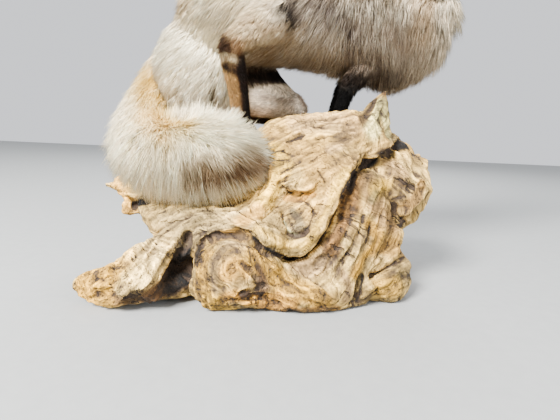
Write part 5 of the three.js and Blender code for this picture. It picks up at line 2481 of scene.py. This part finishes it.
    def _blended(
        self, design: Array, normals: Array
    ) -> tuple[dict[str, Array], Array, Array, Array]:
        """Blends what the zones say of the coat.

        Args:
            design: the skin's places in design coordinates.
            normals: its outward directions.

        Returns:
            The coat's sizes, its colours, its directions, and the number of the nearest zone.
        """
        count = len(design)
        total = np.zeros(count)
        sums = {key: np.zeros(count) for key in ("length", "depth", "width", "density", "grizzle")}
        tint, way = np.zeros((count, 3)), np.zeros((count, 3))
        best, zone_of = np.full(count, FAR), np.zeros(count, int)
        for number, zone in enumerate(self.zones):
            out, share, lift, along = zone.locate(design)
            inside = np.zeros(count)
            if zone.curl:
                lift = zone.facing(normals)
                inside = smoothstep(0.1, 0.6, lift) * smoothstep(0.85, 0.5, share)
            weight = np.exp(-9.0 * np.abs(out - 1.0)) * np.exp(-3.0 * np.maximum(out - 1.4, 0.0))
            weight = weight + FAINT
            coat = np.array(zone.coat, float)
            for column, key in enumerate(("length", "depth", "width", "density"), start=1):
                value = np.interp(share, coat[:, 0], coat[:, column])
                if key in ("length", "depth"):
                    value = value * (1.0 + 1.6 * inside)
                    if zone.skull:
                        value = value * (1.0 - 0.4 * smoothstep(0.0, 0.7, lift) * (zone.curl == 0))
                sums[key] += weight * value
            sums["grizzle"] += weight * zone.grizzle * (0.5 + 0.5 * smoothstep(-0.4, 0.5, lift))
            over, beside, under = zone.tinted(share)
            up = smoothstep(0.05, 0.85, lift)[:, None]
            down = smoothstep(0.15, 0.9, -lift)[:, None]
            tint += weight[:, None] * (over * up + under * down + beside * (1 - up - down))
            rows = np.array(zone.lie, float)
            ahead, fall, around = (np.interp(share, rows[:, 0], rows[:, k]) for k in (1, 2, 3))
            pull = ahead[:, None] * along - fall[:, None] * WORLD_UP
            around = around * (1.0 - 0.85 * smoothstep(0.15, 0.85, normals[:, 2]))
            pull += around[:, None] * np.cross(along, normals)
            way += weight[:, None] * pull
            total += weight
            closer = out < best
            best[closer] = out[closer]
            zone_of[closer] = number
        for key in sums:
            sums[key] /= total
        return sums, tint / total[:, None], way / total[:, None], zone_of

    def _marked(self, tint: Array, design: Array) -> tuple[Array, Array]:
        """Lays the markings and the seams, and finds where little hair grows.

        Args:
            tint: the skin's colours.
            design: its places in design coordinates.

        Returns:
            The new colours, and how bare each place is, from 0 to 1.
        """
        for marking in self.markings:
            tint = tint + (rgb(marking.colour) - tint) * marking.weight(design)[:, None]
        local = Skull().into(design) / MM
        bare = np.zeros(len(design))
        for seam in self.seams:
            gap = seam.gap(local)
            cover = seam.strength * smoothstep(1.5, 0.6, gap)
            tint = tint + (rgb(seam.colour) - tint) * cover[:, None]
            bare = np.maximum(bare, seam.bare * smoothstep(1.9, 0.9, gap))
        nose, half = np.array([157.0, 0, -17]), np.array([11.0, 11, 9])
        gap = np.linalg.norm((local - nose) / half, axis=1)
        bare = np.maximum(bare, smoothstep(1.25, 1.0, gap))
        for side in (1, -1):
            socket = EyeSocket(side)
            gap = np.linalg.norm(local - socket.centre(), axis=1)
            bare = np.maximum(bare, (gap < socket.radius + 0.6).astype(float))
        return tint, bare


class Seeder:
    """Scatters hair roots over the skin."""

    def __init__(self, mesh: Mesh, lie: Lie) -> None:
        """Prepares the skin.

        Args:
            mesh: the skin.
            lie: the coat's plan.
        """
        self.points = points_of(mesh)
        self.normals = normals_of(mesh)
        self.triangles = triangles_of(mesh)
        self.lie = lie
        first, second, third = self.points[self.triangles].transpose(1, 0, 2)
        self.area = 0.5 * np.linalg.norm(np.cross(second - first, third - first), axis=1)
        loops = read(mesh.loop_triangles, "loops", 3, np.int32)
        self.uv = read(mesh.uv_layers["OFBake"].uv, "vector", 2, np.float32)[loops]

    def scatter(self, rng: Chance) -> "Roots":
        """Picks places all over the skin, as dense as the plan says.

        Args:
            rng: the source of chance.

        Returns:
            The roots.
        """
        per_square_metre = 1e4
        rate = self.lie.density[self.triangles].mean(1) * self.area * per_square_metre
        count = rng.poisson(rate)
        picked = np.repeat(np.arange(len(rate)), count)
        u, v = rng.random(len(picked)), rng.random(len(picked))
        flip = u + v > 1
        u[flip], v[flip] = 1 - u[flip], 1 - v[flip]
        return Roots(self, picked, np.stack([1 - u - v, u, v], 1))


@dataclass(frozen=True)
class Roots:
    """Hair roots: the triangle of the skin that each is in, and its three corner weights."""

    skin: Seeder
    picked: Array
    weights: Array

    def some(self, chosen: Array) -> "Roots":
        """A choice of the roots."""
        return Roots(self.skin, self.picked[chosen], self.weights[chosen])

    def read(self, values: Array) -> Array:
        """What a value of the skin's vertices is at each root.

        Args:
            values: one row for each vertex.

        Returns:
            One row for each root.
        """
        corners = values[self.skin.triangles[self.picked]]
        if values.ndim == 1:
            return (corners * self.weights).sum(1)
        return (corners * self.weights[:, :, None]).sum(1)

    def uv(self) -> Array:
        """The unwrapped place of each root."""
        return (self.skin.uv[self.picked] * self.weights[:, :, None]).sum(1)

    def zone(self) -> Array:
        """The number of the body's part that each root is on."""
        corner = self.skin.triangles[self.picked, self.weights.argmax(1)]
        return self.skin.lie.zone[corner]


class Lock(Enum):
    """How a lock is built: long hair bends in the middle, short hair is a single spike."""

    LONG = "long"
    SHORT = "short"


@dataclass(frozen=True)
class LockMesh:
    """One lock's mesh: its faces, how far along each corner is, and its patch of the unwrap."""

    faces: tuple[tuple[int, int, int], ...]
    shares: tuple[float, ...]
    patch: tuple[Pixel, ...]


LOCK_MESHES = {
    Lock.LONG: LockMesh(
        ((0, 1, 2), (0, 3, 4), (0, 4, 1), (1, 4, 5), (1, 5, 2), (2, 5, 3), (2, 3, 0), (3, 6, 4),
         (4, 6, 5), (5, 6, 3)),
        (0.0, 0.0, 0.0, 0.55, 0.55, 0.55, 1.0),
        ((1, 0), (-0.5, 0.87), (-0.5, -0.87), (0.5, 0), (-0.25, 0.43), (-0.25, -0.43), (0, 0)),
    ),
    Lock.SHORT: LockMesh(
        ((0, 1, 2), (0, 3, 1), (1, 3, 2), (2, 3, 0)),
        (0.0, 0.0, 0.0, 1.0),
        ((1, 0), (-0.5, 0.87), (-0.5, -0.87), (0, 0)),
    ),
}


@dataclass(frozen=True)
class HairFinish:
    """Soft hair that keeps the colour of each lock."""

    roughness: float = 0.6
    shine: float = 0.12

    def build(self) -> Material:
        """The material.

        Returns:
            The finished material.
        """
        look = Shader("fox_coat", Roughness=self.roughness, Specular_IOR_Level=self.shine)
        look.feed("Base Color", look.attribute("tint", "Color"))
        return look.material


@dataclass(frozen=True)
class SkinFinish:
    """The skin, tinted as the coat over it, only darker, with short down on it."""

    scale: float = 900.0
    light: tuple[float, float] = (0.62, 0.95)
    relief: float = 0.0008

    def build(self) -> Material:
        """The material.

        Returns:
            The finished material.
        """
        look = Shader("fox_skin", Roughness=0.8, Specular_IOR_Level=0.08)
        down = look.noise(look.place(), self.scale, 2.0)
        light = down.ramp(0.2, 0.8, *self.light)
        look.feed("Base Color", look.lit(look.attribute("tint", "Color"), light))
        look.bump(down, 0.6, self.relief)
        return look.material


@dataclass
class Coat:
    """All the hair, as closed, tapering, lightly curved locks.

    A lock whose hair is longer than `long_from` millimetres is a long one. `bunch` locks share
    a leader, and each tip is drawn by about `gather` of the way to the leader's tip. A hair's
    sag and bow are shares of its length.
    """

    streaks_and_shade: StreaksAndShade
    names: Array
    bunch: int = 13
    gather: float = 0.55
    long_from: float = 10.0
    lengths: tuple[float, float] = (0.7, 1.12)
    widths: tuple[float, float] = (0.6, 1.25)
    stray: float = 0.16
    bunch_stray: float = 0.10
    sunk: float = 0.8
    sag: float = 0.06
    bow: float = 0.05
    patch: float = 0.0015
    gain: Triple = (1.04, 1.03, 0.95)
    bleach: Triple = (246.0, 241.0, 230.0)
    pale_tip: Triple = (240.0, 230.0, 212.0)
    most: int = 190_000

    def build(self, skin: Item, lie: Lie) -> list[Item]:
        """Grows the coat region by region.

        Args:
            skin: the fox's skin.
            lie: the coat's plan.

        Returns:
            The coat's pieces.
        """
        look = HairFinish().build()
        rng = np.random.default_rng(SEED)
        roots = Seeder(skin.data, lie).scatter(rng)
        zone_of = roots.zone()
        names = list(self.names)
        taken = np.zeros(len(zone_of), bool)
        pieces = []
        for region, members in REGIONS.items():
            chosen = np.isin(zone_of, [names.index(member) for member in members])
            taken |= chosen
            pieces += self._region(region, roots.some(chosen), rng, look)
        return pieces + self._region("feet", roots.some(~taken), rng, look)

    def _region(
        self, name: str, roots: Roots, rng: Chance, look: Material
    ) -> list[Item]:
        """Grows one region's locks and parts them into pieces.

        Args:
            name: the region.
            roots: its hair roots.
            rng: the source of chance.
            look: the hair's material.

        Returns:
            The region's pieces.
        """
        roots = roots.some(np.argsort(roots.read(roots.skin.points)[:, 0]))
        is_long = roots.read(roots.skin.lie.length) > self.long_from * MM
        pieces = []
        for lock, chosen in ((Lock.LONG, is_long), (Lock.SHORT, ~is_long)):
            numbers = np.nonzero(chosen)[0]
            parts = math.ceil(len(numbers) * len(LOCK_MESHES[lock].faces) / self.most)
            for k in range(parts):
                part = roots.some(np.array_split(numbers, parts)[k])
                piece = self._grow(f"coat_{name}_{lock.value}_{k + 1}", part, lock, rng)
                piece.data.materials.append(look)
                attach(piece, "root")
                pieces.append(piece)
        return pieces

    def _leaders(self, places: Array, rng: Chance) -> Array:
        """The lock that leads the bunch each lock is in.

        Args:
            places: the locks' roots.
            rng: the source of chance.

        Returns:
            One lock's number for each lock.
        """
        count = len(places)
        leaders = rng.choice(count, max(1, count // self.bunch), replace=False)
        return leaders[nearest_of(places[leaders], places)]

    def _grow(
        self, name: str, roots: Roots, lock: Lock, rng: Chance
    ) -> Item:
        """Builds one piece of coat.

        Args:
            name: the piece's name.
            roots: its hair roots.
            lock: how its locks are built.
            rng: the source of chance.

        Returns:
            The piece.
        """
        lie, count, is_long = roots.skin.lie, len(roots.picked), lock is Lock.LONG
        places = roots.read(roots.skin.points)
        leader = self._leaders(places, rng)
        normal = unit(roots.read(roots.skin.normals))
        way = unit(laid_flat(roots.read(lie.way), normal))
        beside = np.cross(normal, way)
        length = roots.read(lie.length) * rng.uniform(*self.lengths, count)
        depth = roots.read(lie.depth) * (0.5 + 0.68 * rng.random(count) ** 0.7)
        width = roots.read(lie.width) * rng.uniform(*self.widths, count)
        depth = np.minimum(depth, 0.92 * length)
        turn = rng.normal(0.0, self.stray, count)
        turn = turn + rng.normal(0.0, self.bunch_stray, count)[leader]
        way = unit(way + beside * turn[:, None])
        reach = np.sqrt(length**2 - depth**2)
        root = places - normal * self.sunk * MM
        tip = root + way * reach[:, None] + normal * depth[:, None]
        if is_long:
            amount = np.clip(self.gather * rng.uniform(0.4, 1.25, count), 0, 0.9)
            tip = tip + (tip[leader] - tip) * amount[:, None]
        tip = tip - WORLD_UP * (self.sag * length)[:, None]
        bow = beside * (rng.normal(0.0, self.bow, count) * length)[:, None]
        middle = root + 0.45 * (tip - root) + normal * (0.2 * depth)[:, None] + bow
        root_tint, tip_tint = self._tints(roots, leader, is_long, rng)
        zones = self.names[roots.zone()]
        levels = {}
        for share, place in zip((0.0, 0.55, 1.0), (root, middle, tip)):
            level = root_tint + (tip_tint - root_tint) * share
            levels[share] = self.streaks_and_shade.laid(level, place, normal, zones)
        shape = LOCK_MESHES[lock]
        tones = np.stack([levels[share] for share in shape.shares], 1)
        corners = self._corners(root, middle, tip, normal, 0.5 * width, is_long)
        each = len(shape.shares)
        starts = each * np.arange(count)[:, None, None]
        faces = (np.array(shape.faces)[None, :, :] + starts).reshape(-1, 3)
        mesh = mesh_of(name, corners.reshape(-1, 3), faces)
        tint = np.array(self.gain) * to_linear(tones.reshape(-1, 3)) ** CONTRAST
        store(mesh, "tint", with_alpha(tint))
        patch = roots.uv()[:, None, :] + np.array(shape.patch)[None, :, :] * self.patch
        layer = mesh.uv_layers.new(name="OFBake")
        patch = patch.reshape(-1, 2)[faces.ravel()]
        layer.uv.foreach_set("vector", patch.astype(np.float32).ravel())
        piece = bpy.data.objects.new(name, mesh)
        bpy.context.scene.collection.objects.link(piece)
        return piece

    def _tints(
        self, roots: Roots, leader: Array, is_long: bool, rng: Chance
    ) -> tuple[Array, Array]:
        """Each lock's colour at its root and at its tip.

        Args:
            roots: the hair roots.
            leader: the lock that leads each lock's bunch.
            is_long: whether the locks are long ones.
            rng: the source of chance.

        Returns:
            The root colours and the tip colours.
        """
        count = len(leader)
        colour = roots.read(roots.skin.lie.unshaded)
        colour *= rng.normal(1.0, 0.08, count)[:, None]
        colour *= rng.normal(1.0, 0.07, count)[leader][:, None]
        grizzle = roots.read(roots.skin.lie.grizzle)
        dark = rng.random(count) < grizzle
        pale = ~dark & (rng.random(count) < grizzle * 0.8)
        # Roots are darker and greyer than tips: partly the darker underfur, partly painted shade at
        # the roots.
        root_tint = colour * (0.9 if is_long else 0.96) * np.array([1.0, 0.96, 0.92])
        if is_long:
            colour = colour + (np.array(self.bleach) - colour) * 0.14
        tip_tint = colour.copy()
        tip_tint[dark] = colour[dark] * 0.5
        tip_tint[pale] = colour[pale] * 0.4 + np.array(self.pale_tip) * 0.6
        return root_tint, tip_tint

    def _corners(
        self, root: Array, middle: Array, tip: Array, normal: Array, half: Array, is_long: bool
    ) -> Array:
        """The corners of every lock.

        Args:
            root: where the locks start.
            middle: where they bend.
            tip: where they end.
            normal: the skin's outward directions.
            half: half of the locks' widths.
            is_long: whether the locks are long ones.

        Returns:
            The corners of each lock, in the order of its mesh.
        """
        first = unit(middle - root)
        flat = unit(np.cross(first, normal))
        rise = unit(np.cross(flat, first))
        corners = []
        for centre, size in ((root, 0.8), (middle, 1.0)) if is_long else ((root, 1.0),):
            corners.append(centre + flat * (half * size)[:, None])
            corners.append(centre - flat * (half * size)[:, None])
            corners.append(centre + rise * (half * size * 0.7)[:, None])
        return np.stack([*corners, tip], 1)


def mesh_of(name: str, points: Array, faces: Array) -> Mesh:
    """A smooth mesh of triangles.

    Args:
        name: the mesh's name.
        points: its vertices.
        faces: its triangles, as rows of vertex numbers.

    Returns:
        The mesh.
    """
    mesh = bpy.data.meshes.new(name)
    mesh.vertices.add(len(points))
    mesh.loops.add(faces.size)
    mesh.polygons.add(len(faces))
    mesh.vertices.foreach_set("co", points.astype(np.float32).ravel())
    mesh.loops.foreach_set("vertex_index", faces.astype(np.int32).ravel())
    mesh.polygons.foreach_set("loop_start", np.arange(0, faces.size, 3, dtype=np.int32))
    mesh.update(calc_edges=True)
    mesh.polygons.foreach_set("use_smooth", np.ones(len(faces), bool))
    return mesh


def placed(item: Item, points: Array, home: Home) -> Item:
    """Moves a piece's vertices to head places in millimetres, and smooths its shading."""
    set_points(item.data, home.put(Skull().out(points * MM)))
    return smooth_shaded(item)


@dataclass(frozen=True)
class GlassFinish:
    """Amber iris with fine rays, a dark rim and a black slit under clear glass."""

    inner: Rgba = (0.34, 0.16, 0.028, 1.0)
    dark_ray: Rgba = (0.13, 0.045, 0.008, 1.0)
    pale_ray: Rgba = (0.30, 0.125, 0.018, 1.0)
    pupil: Rgba = (0.006, 0.005, 0.004, 1.0)

    def build(self) -> Material:
        """The material, which reads each point's place across the gaze.

        Returns:
            The finished material.
        """
        look = Shader(
            "eye_glass", Roughness=0.35, Specular_IOR_Level=0.25, Coat_Weight=0.9,
            Coat_Roughness=0.03,
        )
        gaze = look.attribute("gaze", "Vector")
        beside, upward, ahead = (look.axis(gaze, number) for number in range(3))
        radius = (beside * beside + upward * upward).power(0.5)
        rays = look.noise(look.stretch(gaze, (900.0, 900.0, 60.0)), 1.0, 2.0)
        iris = look.mix(rays, self.dark_ray, self.pale_ray)
        iris = look.mix(radius.ramp(2.2, 5.4), self.inner, iris)
        oval = beside * beside * 0.36 + upward * upward * 0.055
        dark = radius.ramp(5.2, 6.2) + oval.ramp(0.8, 1.1, 1.0, 0.0) * ahead.ramp(0.0, 1.0)
        look.feed("Base Color", look.mix(dark.ramp(0.0, 1.0), iris, self.pupil))
        return look.material


@dataclass
class GlassEye:
    """A taxidermist's glass eye: amber, with an upright slit for a pupil."""

    home: Home
    side: int
    gaze: Triple = (0.66, 0.74, 0.14)
    cornea: float = 0.9

    def build(self, name: str) -> Item:
        """Shapes the eye and stores where each point lies across the gaze.

        Args:
            name: the piece's name.

        Returns:
            The eye.
        """
        socket = EyeSocket(self.side)
        eye = ball(64, 40)
        ways = unit(points_of(eye.data))
        gaze = unit(np.array(self.gaze) * (1, self.side, 1))
        beside = unit(np.cross(WORLD_UP, gaze))
        upward = np.cross(gaze, beside)
        ahead = ways @ gaze
        bulge = self.cornea * smoothstep(0.72, 1.0, ahead)
        across = np.stack([ways @ beside, ways @ upward, ahead], 1) * socket.radius
        store(eye.data, "gaze", across)
        placed(eye, socket.centre() + ways * (socket.radius + bulge)[:, None], self.home)
        eye.name = name
        eye.data.materials.append(GlassFinish().build())
        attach(eye, "root")
        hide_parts(name.replace("_glass", ""))
        return eye


@dataclass(frozen=True)
class LeatherFinish:
    """Pebbled black leather with a slight sheen."""

    colour: Rgba = (0.012, 0.011, 0.011, 1.0)
    scale: float = 1100.0
    relief: float = 0.0006

    def build(self) -> Material:
        """The material.

        Returns:
            The finished material.
        """
        look = Shader("nose_leather", Roughness=0.38, Base_Color=self.colour)
        inputs = {"Vector": look.place(), "Scale": self.scale}
        cells = look.node("ShaderNodeTexVoronoi", {"feature": "F1"}, inputs)
        look.bump(cells, 0.5, self.relief)
        return look.material


@dataclass
class NoseLeather:
    """The bare black nose with its nostrils and middle groove, in head millimetres.

    Each dent is its place on the right side, its half sizes, how deep it is and how square; a
    negative depth stands proud.
    """

    home: Home
    at: Triple = (155.0, 0.0, -16.5)
    half: Triple = (9.0, 9.6, 8.0)
    squareness: Triple = (0.9, 0.86, 0.9)
    dents: tuple[tuple[Triple, Triple, float, float], ...] = (
        ((7.0, 4.4, -0.8), (5.0, 2.2, 1.9), 4.2, 1.4),
        ((4.6, 8.2, -2.2), (3.6, 2.4, 1.0), 2.4, 1.0),
        ((6.0, 7.0, 2.2), (4.0, 3.0, 2.4), -0.9, 1.0),
    )

    def build(self) -> Item:
        """Shapes the nose from a ball.

        Returns:
            The nose.
        """
        nose = ball(96, 64)
        ways = unit(points_of(nose.data))
        shape = np.sign(ways) * np.abs(ways) ** np.array(self.squareness)
        places = shape * np.array(self.half)
        places[:, 1] *= 1.0 - 0.26 * smoothstep(2.0, -8.0, places[:, 2])
        places[:, 0] += 0.10 * places[:, 2]
        front = smoothstep(0.0, 5.0, places[:, 0])
        groove = np.exp(-((places[:, 1] / 0.8) ** 2)) * smoothstep(4.0, -1.0, places[:, 2])
        depth = 1.1 * groove * front
        for side in (1, -1):
            for at, half, deep, square in self.dents:
                gap = (places - np.array(at) * (1, side, 1)) / np.array(half)
                depth += deep * np.exp(-((gap**2).sum(1) ** square))
        places = places - unit(places) * depth[:, None]
        placed(nose, places + np.array(self.at), self.home)
        nose.name = "nose_pad"
        nose.data.materials.append(LeatherFinish().build())
        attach(nose, "root")
        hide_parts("nose")
        return nose


@dataclass(frozen=True)
class BristleFinish:
    """Smooth dark bristle."""

    colour: Rgba = (0.014, 0.011, 0.010, 1.0)

    def build(self) -> Material:
        """The material."""
        return Shader("whisker", Roughness=0.4, Base_Color=self.colour).material


@dataclass
class Whiskers:
    """Stiff dark hairs on the muzzle and over the eyes."""

    home: Home
    count: int = 11
    brows: int = 3
    radius: float = 0.28
    droop: Triple = (-0.12, 0, -0.16)

    def build(self) -> Item:
        """Adds every whisker as a thin tapering rod.

        Returns:
            All the whiskers as one piece.
        """
        rng = np.random.default_rng(SEED + 9)
        rods = []
        for side in (1, -1):
            for k in range(self.count):
                row, place = divmod(k, 4)
                across, down = side * (14.5 + 1.2 * place), -20 - 4.2 * row
                rise = 0.16 - 0.22 * row + rng.normal(0, 0.05)
                way = unit(np.array([-0.35 - 0.2 * place, side * 1.0, rise]))
                root = np.array([133 - 8 * place - 2 * row, across, down])
                rods.append(self._rod(root, way, rng.uniform(46, 74)))
            for k in range(self.brows):
                root = np.array([80 + 3 * k, side * (19 + k), 25.0])
                way = unit(np.array([-0.5, side * 0.45, 0.75 - 0.1 * k]))
                rods.append(self._rod(root, way, rng.uniform(22, 34)))
        whiskers = smooth_shaded(joined(rods, "whiskers"))
        whiskers.data.materials.append(BristleFinish().build())
        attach(whiskers, "root")
        return whiskers

    def _rod(self, root: Array, way: Array, length: float) -> Item:
        """One whisker that droops towards its tip.

        Args:
            root: where it grows, in head millimetres.
            way: the direction it starts in.
            length: how long it is.

        Returns:
            The whisker.
        """
        rows = []
        for share in np.linspace(0, 1, 5):
            place = root + way * length * share + np.array(self.droop) * length * share**2
            size = self.radius * (1.0 - 0.8 * share)
            rows.append((*place, size, size, size))
        return Limb(rows, Upright.SKY, 6, 16).build(self.home, Skull().out)


@dataclass(frozen=True)
class HornFinish:
    """Dark brown horn with a faint cloud in it."""

    dark: Rgba = (0.035, 0.026, 0.020, 1.0)
    light: Rgba = (0.10, 0.075, 0.055, 1.0)
    scale: float = 240.0

    def build(self) -> Material:
        """The material.

        Returns:
            The finished material.
        """
        look = Shader("claw_horn", Roughness=0.42)
        tone = look.noise(look.place(), self.scale, 2.0)
        look.feed("Base Color", look.mix(tone, self.dark, self.light))
        return look.material


@dataclass
class Claws:
    """Four blunt curved claws on each paw."""

    home: Home
    length: float = 11.0
    thick: float = 2.1
    blunt: float = 0.25

    def build(self, zones: list[Zone]) -> Item:
        """Adds a claw in front of every toe.

        Args:
            zones: the body's parts, among them the toes.

        Returns:
            All the claws as one piece.
        """
        hooks = []
        for zone in zones:
            if "_toe_" not in zone.name:
                continue
            x, y, z, wide, _, _ = zone.stations[-1]
            lean = 0.08 * (y - zone.stations[0][1])
            rows = []
            for share in np.linspace(0, 1, 6):
                size = self.thick * (1.0 - share) ** 0.7 + self.blunt
                ahead = x + 0.55 * wide + self.length * share
                low = z + 2.6 + 1.2 * share - 7.4 * share**2
                rows.append((ahead, y + lean * share * 8, low, 0.7 * size, size, size))
            hooks.append(Limb(rows, Upright.SKY, 12, 18).build(self.home))
        claws = smooth_shaded(joined(hooks, "claws"))
        claws.data.materials.append(HornFinish().build())
        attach(claws, "root")
        return claws


# ---------------- the whole


def report(pieces: Sequence[Item]) -> None:
    """Logs finished pieces."""
    for piece in pieces:
        log.info("%s: %d triangles", piece.name, len(triangles_of(piece.data)))


def main() -> None:
    """Builds everything in order."""
    logging.basicConfig(level=logging.INFO, format="%(asctime)s %(name)s: %(message)s")
    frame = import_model()
    home = Home()
    viewpoint = Viewpoint(home)
    viewpoint.build()
    Studio(home).build()
    hide = Hide(home, viewpoint)
    skin = hide.build()
    lie = hide.dress(skin)
    report([skin])
    names = np.array([zone.name for zone in hide.zones])
    report(Coat(StreaksAndShade(viewpoint, hide.shades), names).build(skin, lie))
    report([Claws(home).build(hide.zones)])
    report([GlassEye(home, 1).build("eye_left_glass"), GlassEye(home, -1).build("eye_right_glass")])
    report([NoseLeather(home).build(), Whiskers(home).build()])
    report([Driftwood(home, viewpoint).build(frame["nodes"]["driftwood"])])


if __name__ == "__main__":
    main()
